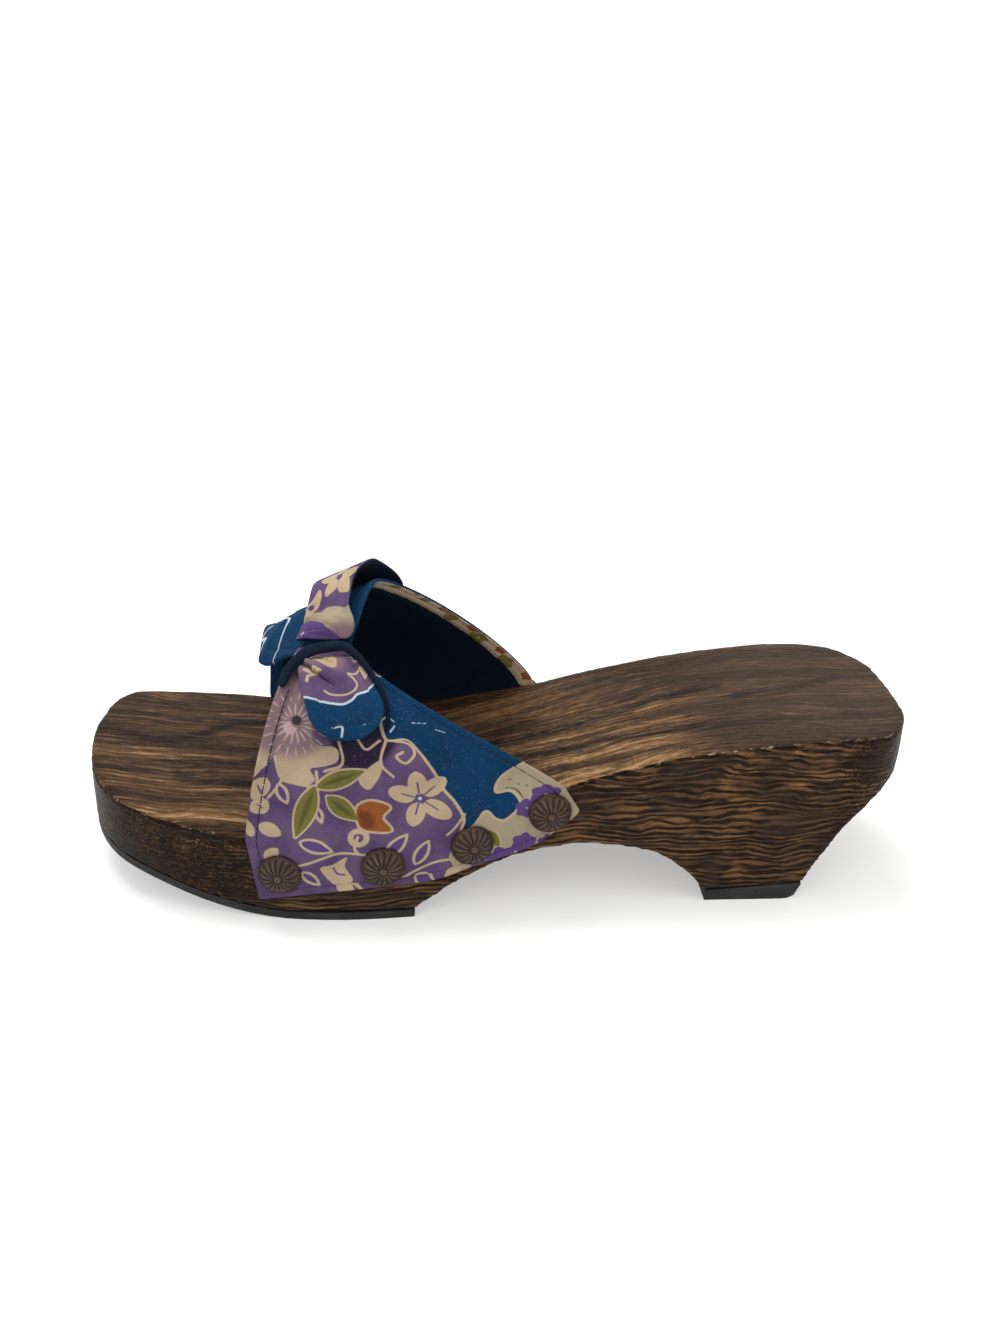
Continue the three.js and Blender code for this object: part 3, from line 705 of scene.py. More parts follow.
def hem_print(chart):
    """What shows on the turned-under hems: pale cloth with small flowers, and blue at both ends."""
    x, y = chart.points.T
    low, high = np.array((138.0, 28.0)), np.array((83.0, 112.0))
    toe_end = 62
    blue = (y > high[1]) | (x < toe_end)
    count = 20
    spots = [
        (lerp(low, high, i / count) + 2.2 * math.sin(i * 2.1), 3.0 + 0.8 * math.sin(i * 1.7))
        for i in range(count + 1)
    ]
    printed = {
        "blue": np.where(blue, -1.0, no_ink),
        "pale": np.where(blue, no_ink, -1.0),
        "cream": any_of(chart.disc(centre, 0.6) for centre, _ in spots),
    }
    for ink, some in (("orange", spots[::3]), ("violet", spots[1::4]), ("green", spots[2::3])):
        printed[ink] = chart.flowers(some, 5, 0.8)
    return printed


def flat_grid(across, along):
    """A grid, with each corner's share of the way across it and along it."""
    grid = bmesh.new()
    bmesh.ops.create_grid(grid, x_segments=across, y_segments=along, size=0.5)
    u, s = np.clip(np.array([vert.co for vert in grid.verts])[:, :2].T + 0.5, 0, 1)
    return grid, u, s


def layer_of(mesh, name):
    values = np.empty(len(mesh.vertices))
    mesh.attributes[name].data.foreach_get("value", values)
    return values


def set_layer(mesh, name, values):
    layer = mesh.attributes.get(name) or mesh.attributes.new(name, "FLOAT", "POINT")
    layer.data.foreach_set("value", values)


def cloth_sheet(name, place, chart_at, across, along, thickness, ends, prints, *nodes,
                flipped=False, hem=turned_hem):
    """A printed cloth sheet with turned edges, from a grid laid by a function of u and s."""
    grid, u, s = flat_grid(across, along)
    if flipped:
        bmesh.ops.reverse_faces(grid, faces=grid.faces)
    mesh = mesh_of(name, grid)
    a, b, gap = chart_at(u, s)
    chart = Chart(a, b)
    mesh.vertices.foreach_set("co", place(u, s, chart, gap).ravel())
    printed, turned_under = prints(chart), hem_print(chart)
    blank = np.full(len(a), no_ink)
    for ink in inks:
        set_layer(mesh, ink, printed.get(ink, blank))
    set_layer(mesh, "gap", gap)
    corners = np.empty(len(mesh.loops), int)
    mesh.loops.foreach_get("vertex_index", corners)
    laid = mesh.uv_layers.new(name="laid")
    laid.data.foreach_set("uv", np.stack((a, b), axis=-1)[corners].ravel())
    piece = add_piece(name, mesh, (print_look, lining_look), "printed_cotton", *nodes)
    rim = piece.vertex_groups.new(name="rim")
    rounding = np.clip(gap / (0.55 * thickness), 0, 1)
    weights = lerp(ends, 1, np.sqrt(np.maximum(0, 1 - (1 - rounding) ** 2)))
    for index, weight in enumerate(weights):
        rim.add((index,), float(weight), "REPLACE")
    wall = piece.modifiers.new("wall", "SOLIDIFY")
    wall.thickness = thickness
    wall.offset = 0
    wall.vertex_group = "rim"
    wall.thickness_vertex_group = 0.05
    wall.material_offset = 1
    wall.material_offset_rim = 0 if hem else 1
    baked(piece)
    for ink in inks:
        values = layer_of(piece.data, ink)
        values[len(a):] = turned_under.get(ink, blank)
        set_layer(piece.data, ink, values)
    inset = layer_of(piece.data, "gap")
    for face in piece.data.polygons:
        if inset[list(face.vertices)].mean() < hem:
            face.material_index = 0
    piece.data.shade_smooth()


chart_steps = 160


def panel_chart(over):
    """The chart of a panel: a runs along the shoe from the toe and b from the floor up the cloth."""
    share = np.linspace(0, 1, chart_steps + 1)
    u, s = np.meshgrid(share, share, indexing="ij")
    places = over(u, s, np.full(u.shape, cloth_wall))
    up = np.linalg.norm(np.diff(places, axis=1), axis=2)
    foot = places[:, :1, 2]
    b = np.concatenate((foot, foot + np.cumsum(up, axis=1)), axis=1) / MM
    a = (places[..., 0] - toe_x) / MM
    wide = np.linalg.norm(np.diff(places, axis=0), axis=2).sum(axis=0)
    tall = up.sum(axis=1)

    def read(grid, u, s):
        x, y = u * chart_steps, s * chart_steps
        i, j = (np.minimum(place.astype(int), chart_steps - 1) for place in (x, y))
        x, y = x - i, y - j
        near = grid[i, j] * (1 - x) + grid[i + 1, j] * x
        far = grid[i, j + 1] * (1 - x) + grid[i + 1, j + 1] * x
        return near * (1 - y) + far * y

    def chart_at(u, s):
        sides = np.minimum(u, 1 - u) * np.interp(s, share, wide)
        return read(a, u, s), read(b, u, s), np.minimum(sides, s * np.interp(u, share, tall))
    return chart_at


def creases(chart, *rows):
    """Soft troughs between two chart points, deepest at the first, with a depth and a width in mm."""
    total = 0.0
    for start, end, depth, width in rows:
        share, gap = chart.beside(np.array(start, float), np.array(end, float))
        total = total - depth * MM * np.exp(-(gap / width) ** 2) * (1 - share) ** 0.7
    return total


seam_depth = 0.22 * MM
seam_spread = 0.55 * MM
hem_puff = 0.16 * MM


def seamed(gap, depth=seam_depth):
    """The dip of a stitched line a little inside an edge, and the puffed hem beyond it."""
    line = -depth * np.exp(-((gap - stitch_inset) / seam_spread) ** 2)
    return line + hem_puff * smooth((stitch_inset - gap) / (1.2 * MM)) * smooth(gap / (0.5 * MM))


# Printed cotton: a fine plain weave, a little faded and flecked with lint. Its colours are laid on
# in layers, each from its own shape, and they bleed a little at their edges.
violet = (0.084, 0.050, 0.114)
# deep is painted shadow, not an ink
ink_colours = {
    "blue": (0.0020, 0.028, 0.074), "sand": (0.275, 0.222, 0.150), "pale": (0.34, 0.26, 0.175),
    "mum": (0.158, 0.100, 0.112), "cream": (0.35, 0.265, 0.17), "violet": (0.075, 0.042, 0.135),
    "green": (0.128, 0.110, 0.028), "orange": (0.20, 0.062, 0.016), "white": (0.36, 0.42, 0.45),
    "blush": (0.31, 0.225, 0.22), "dark": (0.030, 0.025, 0.028), "deep": (0.017, 0.011, 0.026),
    "moss": (0.062, 0.066, 0.016), "rust": (0.110, 0.030, 0.010),
}
thread_pitch = 0.42


def dyed(shade, tone, low, high, darkest, brightest):
    """A tone that varies with a shade, between two shares of it."""
    return shade.ramp(((low, tuple(darkest * c for c in tone)), (high, tuple(brightest * c for c in tone))))


print_look, shade, shader = shaded("printed_cotton", specular_ior_level=0.06)
chart = shade.node("ShaderNodeUVMap", {"uv_map": "laid"})
place = shade.in_mm()
dye = place.noise((0.09, 0.09, 0.09), 3, 0.55)
colour = dye.ramp(((0.30, tuple(0.66 * c for c in violet)), (0.52, violet), (0.74, (0.115, 0.073, 0.112))))
bleed = (chart.noise(2.4, 3, 0.6) - 0.5) * 0.22
for ink in inks:
    soft = soft_inks.get(ink, sharp_ink)
    printed_here = (shade.layer(ink) + bleed).step(-soft, soft, 1.0, 0.0)
    colour = colour.blend(printed_here, dyed(dye, ink_colours[ink], 0.25, 0.75, 0.80, 1.15))
warp, weft = (chart.waves(axis, 1 / thread_pitch / 3.14, 1.2, detail_scale=2.0) for axis in "XY")
speck = chart.noise(3.1, 3, 0.7)
colour = colour.blend(speck.step(0.48, 0.74) * 0.26, (0.022, 0.020, 0.030, 1))
lint = place.noise(1.9, 2, 0.7).step(0.60, 0.74)
colour = colour.blend(lint * 0.16, (0.38, 0.33, 0.30, 1))
slack = place.noise((0.16, 0.16, 0.16))
weave = (warp * 0.5 + weft * 0.5).bump(0.07 * MM, 0.7, slack.bump(0.9 * MM, 0.35))
wire(shader, base_color=colour, roughness=speck.step(0.3, 0.7, 0.80, 0.95), normal=weave)

# Lining: plain navy cotton with a short nap, sewn to the print along the turned hems and rolled
# outwards where the upper is knotted.
lining_look, shade, shader = shaded("navy_lining", specular_ior_level=0.10)
place = shade.in_mm()
nap = place.noise(1.3, 4, 0.7)
wide_tone = place.noise((0.07, 0.07, 0.07), 3, 0.55)
navy = nap * 0.35 + wide_tone * 0.65
navy = navy.ramp(((0.3, (0.0013, 0.0038, 0.0092)), (0.7, (0.0030, 0.0092, 0.0230))))
fluff = nap.step(0.62, 0.75)
wire(shader, base_color=navy.blend(fluff * 0.10, (0.03, 0.045, 0.075, 1)),
     roughness=nap.step(0.3, 0.7, 0.82, 0.96),
     normal=nap.bump(0.10 * MM, 0.6, wide_tone.bump(0.8 * MM, 0.4)))

# Outer panel: lined printed cotton, hemmed all round and tacked along the wood's outer side. By the
# knot it has a rayed chrysanthemum, then vines, leaves, a tulip and a blossom on violet, with a blue
# ground heelwards and a sand one below.
def outer_print(chart):
    outlined = [
        ((66, 26.3), (75, 23.4), 4.6), ((66.3, 16.8), (71.3, 12.8), 3.4), ((88.3, 21.2), (94.3, 28.4), 4.2),
        ((96, 18.3), (99.8, 26), 4.0), ((61, 42.5), (63.6, 37), 3.4), ((71, 36.6), (72.2, 31.8), 2.4),
        ((96, 15.2), (101.5, 11.5), 4.6),
    ]
    green_leaves = [
        ((71, 42), (83.3, 46.9), 4.2), ((70.6, 42.3), (65.2, 27.6), 5.0), ((73.6, 39.6), (81.4, 33), 4.6),
        ((114.2, 27.2), (118.6, 21.4), 3.4),
    ]
    drops = [
        ((58.4, 43.8), (54.5, 38), 4.6), ((58.5, 37.5), (54, 34.5), 4.6), ((56, 30.6), (61.6, 28.2), 4.2),
        ((52, 32), (54, 27), 3.0), ((57.2, 20), (60.4, 24), 3.6), ((80, 10.2), (75.4, 13.4), 3.6),
        ((104, 11.5), (108, 17.5), 3.4),
    ]
    vines = [
        (((58.5, 20.5), (63.5, 18.5), (68, 19.5), (72.5, 21.5), (76.5, 23), (82, 22.5), (88, 21)), 0.75),
        (((93, 14.6), (96.5, 16.6), (101, 18.6), (106, 19.2)), 0.75),
        (((88.5, 57), (87.3, 49.5), (90.5, 45.5)), 0.7), (((76.5, 55), (77.5, 48.5), (73, 46.3)), 0.7),
        (((81, 56), (83.5, 53), (87, 56.5)), 0.7), (((81.3, 28), (80.4, 24.6), (81.5, 22.6)), 0.8),
        (((71, 46), (70.8, 42.5), (66.5, 42.6), (62, 44), (60.5, 49.5)), 0.8),
        (((62.4, 44), (60.5, 41), (58.5, 38.5)), 0.7), (((109, 33), (106.5, 29), (104.5, 27)), 0.7),
        (((90.4, 57), (94.2, 56.8), (95.8, 53.4), (93.6, 50), (91.2, 51.8), (92.8, 53.6)), 0.8),
        (((76.6, 10.8), (79, 8.8), (82, 11.2), (79.6, 13.2), (76.8, 11)), 0.9),
    ]
    blossom = (97.3, 39)
    blossom_tips = ((96.0, 47.4), (89.2, 41.6), (95.4, 30.6), (105.4, 32.4), (103.8, 45.4))
    tulip = ((81.2, 36.6), (85, 38.4), (89.6, 36.6), (87.7, 33.6), (90, 29.6), (85, 29.6), (81.8, 31.2))
    flag = ((82.4, 45.8), (87.4, 50.4), (87.2, 46), (84.4, 41.6), (81.8, 43.4))
    bell = ((71.4, 18.2), (74.6, 19.4), (78.4, 21.8), (77.8, 18.8), (79.8, 14.2), (75.4, 13.2), (73.4, 14.6))
    pale = ((48, 80), (69, 80), (69.5, 57.5), (71, 53.2), (76, 52.4), (76.2, 49), (72.5, 47.4), (69.4, 46.6),
            (70.6, 44), (68, 42.4), (62, 44), (61.4, 47.4), (60.4, 50.4), (57.8, 47), (50, 41), (44, 60))
    blue = ((86.5, 66), (88, 58), (90, 57), (94, 58.5), (96.8, 54.5), (101, 47), (103.4, 41.5), (106.2, 37.4),
            (108.8, 31.6), (108.2, 28), (111.4, 29), (114.4, 33.2), (117, 30.6), (119.6, 29.8), (122.6, 32.4),
            (123.6, 35.4), (121, 39.6), (117, 39.6), (118.2, 45.2), (123.5, 52), (132, 62), (120, 90),
            (96, 100), (84, 92), (85, 76))
    sand = ((108.4, 30), (107, 25), (105, 20), (106.2, 15.6), (102, 10), (118, 4), (145, 22), (142, 44),
            (124, 60), (116, 50), (114, 38))
    clusters = [((130.3, 37.4), 4.4), ((125.3, 33.2), 3.2), ((119.2, 17.4), 4.2), ((125, 21.8), 3.6),
                ((113.6, 15.4), 3.0), ((61, 8.6), 2.0), ((131.5, 21.5), 3.0)]
    mum = (65.4, 58.2)
    dashes = [((119.4, 41), (122, 40.4), (124.2, 37)), ((110, 31.6), (113, 34.6)),
              ((120.3, 44.6), (120.9, 44.2)), ((122.8, 42.4), (123.2, 42)), ((124.9, 41.7), (125.3, 41.3))]
    squiggles = [((86.6, 63), (88.6, 66), (90.4, 65)), ((89.4, 60.4), (90.6, 63.4)),
                 ((95, 66.5), (98.8, 68.4)), ((101, 66), (103.6, 65.2))]
    # deep: a dark violet patch below the tab, painted shadow that the tab casts
    deep = ((72, 61), (75, 53), (78.2, 47.6), (83.6, 47.4), (88.4, 50.6), (91, 61))
    leaves = chart.leaves(green_leaves, 0.9)
    moss = any_of(chart.leaf(base, tip, width * 0.45) for base, tip, width in green_leaves)
    petal_rows = [(lerp(np.array(blossom), np.array(tip), 0.16), np.array(tip)) for tip in blossom_tips]
    tulip_shape, blue_shape, pale_shape = (chart.patch(outline) for outline in (tulip, blue, pale))
    hollow = chart.leaves(outlined, 0.75)
    ring = np.abs(chart.disc((81.5, 27.7), 2.1)) - 0.75
    veins = [chart.stroke((base, lerp(base, tip, 0.5)), 0.5) for base, tip in petal_rows]
    rays = [chart.petals(mum, 5.6, 17, 0.50, 0.1, 0.36, 0.5),
            chart.petals(mum, 9.0, 21, 0.42, 0.27, 0.68, 0.5),
            np.maximum(chart.disc((64.2, 57.0), 1.7), -chart.disc((65.8, 58.6), 1.5))]
    return {
        "deep": chart.patch(deep),
        "blue": blue_shape,
        "sand": np.maximum(chart.patch(sand), -blue_shape),
        "pale": pale_shape,
        "mum": np.maximum(chart.disc((63, 63), 13.5), pale_shape - 0.5),
        "blush": any_of(rays),
        "cream": any_of([
            leaves - 0.55, tulip_shape - 0.6, chart.patch(flag), chart.patch(bell), hollow, ring,
            chart.leaves([(base, tip, 5.0) for base, tip in petal_rows], 0.45),
            np.abs(blue_shape) - 0.42, chart.leaves(drops, 0.6), *(chart.stroke(*vine) for vine in vines),
        ]),
        "violet": any_of([
            *veins, chart.stroke(((74.8, 18.4), (75.8, 16.6), (77.8, 16.2)), 0.55), hollow + 0.85,
            chart.strokes((((56, 41.8), (56.6, 39.6)), ((55.5, 36.6), (57, 35.6))), 0.5),
            chart.flowers(clusters, 6, 0.85),
        ]),
        "green": leaves,
        "moss": moss + 0.4,
        "orange": tulip_shape + 0.1,
        "rust": np.maximum(chart.disc((82.6, 32.4), 3.2), tulip_shape + 0.6),
        "white": any_of([chart.strokes(squiggles, 0.5), chart.disc(blossom, 0.55)]),
        "dark": any_of([chart.disc((65.8, 59), 1.25), chart.strokes(dashes, 0.45)]),
    }


def outer_place(u, s, chart, gap):
    folds = creases(chart, ((76, 56), (60, 40), 0.7, 2.6), ((84, 58), (84, 36), 0.5, 3.0),
                    ((92, 60), (112, 44), 0.8, 3.2), ((64, 66), (58, 44), 0.5, 1.8))
    return over_outer(u, s, cloth_wall / 2 + seamed(gap) + folds)


panel_grid = (205, 215)
panel_rim = 0.35
cloth_sheet("outer_panel", outer_place, panel_chart(over_outer), *panel_grid, cloth_thickness, panel_rim,
            outer_print, "upper")

# Inner panel: the same cloth, tacked along the wood's inner side and tucked under the outer panel at
# the knot. Its blue ground has white squiggles and outlined blossoms, and a sand ground lies below.
def inner_print(chart):
    x, y = chart.points.T
    ground = 34 + 1.7 * np.sin(x * 0.19) + 0.9 * np.sin(x * 0.47 + 1) - y
    squiggles = [
        ((50, 88), (52, 82), (50.6, 77), (53, 72)), ((56, 98), (60, 92), (57, 86), (60, 80), (58, 75)),
        ((70, 100), (66, 98), (68, 94.6), (64.6, 91.4), (69, 89), (68, 84.6), (73.4, 84), (72.6, 79)),
        ((72, 106), (77, 103), (75.4, 99), (80, 96), (77.4, 92), (82, 89)),
        ((60, 70), (64, 66), (61, 61)), ((84, 86), (87, 82), (84, 79), (88, 75)),
        ((52, 62), (56, 58), (53, 53)),
    ]
    orange_flowers = [((64, 50), 5.4), ((80, 56), 6.0), ((96, 50), 5.6), ((89, 68), 5.2), ((73, 71), 4.6),
                      ((53, 43), 4.4), ((110, 43), 4.6)]
    brown_flowers = [((70, 24), 5.2), ((98, 30), 5.4), ((122, 34), 4.4)]
    violet_flowers = [((60, 14), 4.4), ((84, 20), 4.8), ((110, 26), 4.6), ((128, 27), 3.4)]
    leaves = [((74, 28), (80, 33), 3.6), ((62, 20), (66, 28), 3.4), ((102, 34), (109, 36), 3.6),
              ((90, 24), (94, 19), 3.2), ((114, 32), (118, 37), 3.0), ((70, 56), (74, 61), 2.6),
              ((87, 59), (92, 57), 2.6), ((54, 25), (52, 32), 3.2)]
    blooms = any_of(chart.bloom(centre, reach) for centre, reach in orange_flowers)
    leaf_shapes = chart.leaves(leaves)
    return {
        "blue": ground,
        "sand": -ground,
        "cream": any_of([blooms, np.abs(blooms - 1.3) - 0.3, np.abs(ground) - 0.45, leaf_shapes - 0.45,
                         *(chart.disc(centre, 1.3) for centre, _ in violet_flowers)]),
        "violet": any_of(
            np.maximum(chart.petals(centre, reach, 6, reach * 0.8, centre[1]), -chart.disc(centre, 1.0))
            for centre, reach in violet_flowers
        ),
        "green": leaf_shapes,
        "orange": any_of([
            *(chart.petals(centre, reach * 0.82, 5, reach * 0.66, centre[0], 0.2, 0.45)
              for centre, reach in orange_flowers), chart.flowers(brown_flowers, 5, 0.6),
        ]),
        "rust": any_of(chart.disc(centre, reach * 0.42) for centre, reach in orange_flowers),
        "white": chart.strokes(squiggles, 0.7),
        "dark": any_of(chart.petals(centre, reach * 0.34, 5, 0.7, centre[0] + 0.3)
                       for centre, reach in brown_flowers + orange_flowers),
    }


def inner_place(u, s, chart, gap):
    folds = creases(chart, ((60, 84), (50, 50), 0.9, 2.6), ((70, 88), (70, 58), 0.6, 3.4),
                    ((84, 92), (104, 64), 0.8, 3.0))
    return over_inner(u, s, cloth_wall / 2 + seamed(gap) + folds * smooth((1 - s) / 0.25))


cloth_sheet("inner_panel", inner_place, panel_chart(over_inner), *panel_grid, cloth_thickness, panel_rim,
            inner_print, "upper", flipped=True)

# Tab: the inner panel's end, folded flat on the outer panel. Its upper part is gathered into a
# soft pleat with a deep crease under it, and a stitched hem runs round its end.
tail_seat = cloth_wall + seat_gap
tab_width = 18.6
tab_wall = 1.35 * MM
tab_stand = 1.5 * MM
tab_length = 24.4
tab_seam_depth = 0.16 * MM


def tail_point(over, course, q, t, height):
    """A place on a tail: q runs across it from the toe side, t along it, height off the cloth below."""
    u, s = course["u"](t), course["s"](t)
    near = 0.02
    wide = np.linalg.norm(over(u + near, s, 0 * t) - over(u - near, s, 0 * t), axis=-1) / (2 * near)
    return over(u + (q * 2 - 1) * course["half"](t) * MM / wide, s, height)


def tail_chart(half, length, root_free):
    """The chart of a tail: a runs across it from its middle line and b along it from the knot."""
    def chart_at(q, t):
        sides = np.minimum(q, 1 - q) * 2 * half(t)
        ends = np.minimum(t, 1 - t) if root_free else 1 - t
        return (q * 2 - 1) * half(t), t * length, np.minimum(sides, ends * length) * MM
    return chart_at


def tab_half(t):
    round_end = np.sqrt(1 - np.clip((t - 0.66) / 0.34, 0, 1) ** 2.9)
    return tab_width / 2 * round_end * lerp(0.84, 1, smooth(2 * t))


tab_course = {
    "u": lambda t: lerp(0.50, 0.42, t) + 0.025 * np.sin(np.pi * t),
    "s": lambda t: lerp(0.905, 0.575, t),
    "half": tab_half,
}


def pleated(chart, line, rise, sink):
    """A fold that hangs over a crease: the cloth stands up on the crease's right and sinks in it."""
    line = chart.through(line)
    span = line[-1] - line[0]
    offset = chart.points - line[0]
    share = np.clip(offset @ span / (span @ span), 0, 1)
    side = span[0] * offset[:, 1] - span[1] * offset[:, 0]
    gap = chart.from_line(line) * np.where(side < 0, 1, -1)
    fade = (1 - smooth((share - 0.55) / 0.45)) * smooth(share * 6 + 0.4)
    outside = smooth(gap / 0.7 + 0.5)
    fold = rise * np.exp(-np.maximum(gap, 0) / 3.4) * outside
    trough = sink * np.exp(-(np.minimum(gap, 0) / 1.5) ** 2) * (1 - outside)
    return (fold - trough) * fade * MM


def tab_lift(t):
    """The height of the tab's middle off the outer panel's inner face, but for its pleats."""
    return tail_seat + tab_stand * smooth((t - 0.25) * 1.5)


def tab_place(q, t, chart, gap):
    gathered = 0.65 * MM * smooth(t * 8) * (1 - smooth((t - 0.25) * 2.2))
    folds = creases(chart, ((9, 12.5), (-5, 15), 0.25, 1.2))
    for line, rise, sink in (
        (((-8.6, -0.4), (-6.5, 2.6), (-4.4, 5.2), (-2.7, 7.8), (-0.8, 11.6)), 1.25, 0.75),
        (((-4.5, -1), (-1.5, 1.2), (0.8, 4.4)), 0.45, 0.2), (((3.8, 0), (5.0, 4), (5.4, 9)), 0.35, 0.25),
    ):
        folds = folds + pleated(chart, line, rise, sink)
    height = tab_lift(t) + 0.55 * tab_wall + gathered + folds * smooth(t * 9) + seamed(gap, tab_seam_depth)
    return tail_point(over_outer, tab_course, q, t, height)


def tab_print(chart):
    shore = ((-12, 12.8), (-8.8, 13.6), (-5.7, 14.8), (-3.6, 15.5), (-0.9, 16), (1.5, 15.2), (3.1, 14),
             (5.7, 13.8), (7.9, 12.7), (12, 10.6))
    sea = chart.patch(((-12, 13.2), *shore[1:-1], (12, 10.8), (12, 27), (0, 29), (-12, 27)))
    sand = [
        chart.patch(((-7.4, 2), (-3.6, -1), (0.4, 0), (0.2, 4.6), (-1.8, 5.4), (-4.6, 2.6))),
        chart.leaf((8.2, 5.4), (6.6, 10.6), 2.4), chart.leaf((-7.6, 5.2), (-3.4, 6.2), 2.2),
        chart.stroke(((4.6, 0.6), (7.1, 1.5), (7.6, 4.0), (5.3, 4.4), (5.2, 2.6)), 0.8),
        chart.stroke(((-4.5, 11.9), (-3.1, 13.1), (0, 13.5), (2.5, 12.7), (3.7, 11.3), (3.2, 9.3), (2.3, 7.7),
                      (4.3, 8.3), (6.5, 6.6)), 0.55),
        chart.stroke(((-7.6, 9), (-6.8, 7.2), (-4.6, 6.6)), 0.6),
    ]
    whites = [chart.stroke(shore, 0.6), chart.stroke(((-3.4, 21.4), (-1.9, 21.5), (-2.1, 23.6)), 0.55)]
    mauve = chart.patch(((-10, -2), (1, -2), (3, 3), (0.6, 6.4), (-3, 4.6), (-8, 6), (-12, 4)))
    return {"blue": sea, "mum": mauve, "cream": any_of(sand), "white": any_of(whites)}


cloth_sheet("tab", tab_place, tail_chart(tab_half, tab_length, False), 110, 150, tab_wall, 0.45,
            tab_print, "outer_tail", flipped=True)

# Strap: the outer panel's end. It leaves the loop as a lump of two soft rolls, then arches over
# the instep, print outwards, and comes down on the inner panel. Its navy lining shows at its edge.
strap_width = 11.5
strap_stand = 3.9 * MM
lump_height = 5.2 * MM
strap_wall = 1.45 * MM
strap_length = 51.9
gather_depth = 0.22 * MM


def curves_of(rows):
    """A smooth curve for each column of the rows after their first."""
    return [curve_of([(row[0], row[column]) for row in rows]) for column in range(1, len(rows[0]))]


# From the knot to the end: the share of the length, the place on the inner panel, the half width,
# the stand off it and the fullness of the lump and of the arched cloth
strap_reads = curves_of((
    (0, 0.59, 0.965, 0.48, 0.62, 0.30), (0.09, 0.61, 0.945, 0.60, 0.40, 0.80),
    (0.19, 0.64, 0.915, 0.64, 0.25, 1), (0.29, 0.67, 0.87, 0.54, 0.55, 0.45),
    (0.42, 0.73, 0.81, 0.60, 0.95, 0.34), (0.56, 0.79, 0.75, 0.74, 1, 0.34),
    (0.70, 0.80, 0.68, 0.72, 0.80, 0.34), (0.85, 0.79, 0.605, 0.66, 0.42, 0.34),
    (0.95, 0.78, 0.56, 0.46, 0.18, 0.34), (1, 0.78, 0.54, 0.20, 0.10, 0.34),
))


def strap_half(t):
    return strap_reads[2](t) * strap_width


strap_course = {"u": strap_reads[0], "s": strap_reads[1], "half": strap_half}


def strap_place(q, t, chart, gap):
    across = np.abs(q * 2 - 1)
    lump = 1 - smooth((t - 0.235) / 0.05)
    full = strap_reads[4](t) * lump_height
    drop = (full - strap_wall) * (across ** 2.6 * lump + 0.30 * across ** 2 * (1 - lump))
    height = tail_seat + strap_reads[3](t) * strap_stand + full - strap_wall / 2
    folds = pleated(chart, ((-7.4, 12.4), (-2.4, 10.9), (1.4, 7.6), (4.6, 4.2)), 0.5, 1.7)
    folds = folds + creases(chart, ((-7, 6), (1, 5), 0.7, 0.8), ((3, 10.5), (7.5, 8.5), 0.5, 0.9),
                            ((-3, 3.4), (3.4, 1.6), 0.6, 0.8))
    a, b = chart.points.T
    gathers = gather_depth * np.sin(a * 1.9 + 0.5 * np.sin(b)) * np.exp(-((t - 0.30) / 0.07) ** 2)
    return tail_point(over_inner, strap_course, q, t, height - drop + folds * (1 - across ** 6) + gathers)


def strap_print(chart):
    flower = (2.0, 21.8)
    tips = ((-1.2, 18.2), (5.6, 17.4), (-4.2, 24.0), (7.4, 22.4), (1.6, 27.2))
    second = (-0.6, 35.5)
    dot = (-4.9, 16.4)
    petals = [chart.leaf(lerp(np.array(flower), np.array(tip), 0.16), tip, 3.4, 0.5) for tip in tips]
    motif = chart.patch(((-7, 14.6), (-5, 18.6), (-3.4, 20.4), (-2.2, 18), (-3.0, 14.6)))
    lump = chart.points[:, 1] - 14.2 - 0.5 * np.sin(chart.points[:, 0])
    lower = chart.patch(((-9, 4), (-8, 11.0), (-2.4, 9.4), (1.0, 6.2), (3.6, 3.0), (5, -2), (-8, -2)))
    streaks = [((-6.4, 9.8), (-4.8, 6.4), (-5.6, 3)), ((0.2, 6.2), (1.6, 2.6), (3, 0.6)),
               ((-8, 6.6), (-3, 3.2), (0, 2))]
    return {
        "sand": np.maximum(lump, -lower),
        "mum": chart.disc((6.5, 5), 5.0),
        "cream": any_of([
            *petals, chart.petals(second, 5.6, 5, 3.6, 0.4, 0.16, 0.5), chart.strokes(streaks, 0.6),
            chart.leaf((4.4, 42), (1.6, 49), 2.2), np.maximum(motif, -chart.disc(dot, 0.7)),
        ]),
        "violet": any_of([np.maximum(lower, -chart.disc((-6.5, 5.4), 2.0)), chart.disc(dot, 0.5),
                          chart.disc(flower, 0.6)]),
        "green": chart.leaf((-5, 42), (-2, 49), 3),
    }


cloth_sheet("strap", strap_place, tail_chart(strap_half, strap_length, True), 72, 260, strap_wall, 0.5,
            strap_print, "inner_tail", hem=0)

# Knot loop: the outer panel's edge, rolled back over the root of the tab so that the lining shows.
# It is fullest over the top and thins out down both sides of the tab.
loop_width = 4.4 * MM
loop_thickness = 2.4 * MM
loop_rise = 1.8 * MM
loop_ends = 0.02

# Along the loop: the share of its length, the place on the outer panel, the rise and the size
loop_reads = curves_of((
    (0, 0.03, 0.765, 0, 0.45), (0.12, 0.06, 0.85, 0.3, 0.7), (0.24, 0.22, 0.905, 1.05, 0.9),
    (0.40, 0.52, 0.925, 1.1, 0.9), (0.55, 0.75, 0.912, 1.1, 0.66), (0.68, 0.82, 0.84, 1.1, 0.46),
    (0.80, 0.79, 0.75, 1, 0.36), (0.90, 0.72, 0.66, 0.8, 0.30), (1, 0.61, 0.575, 0, 0.25),
))


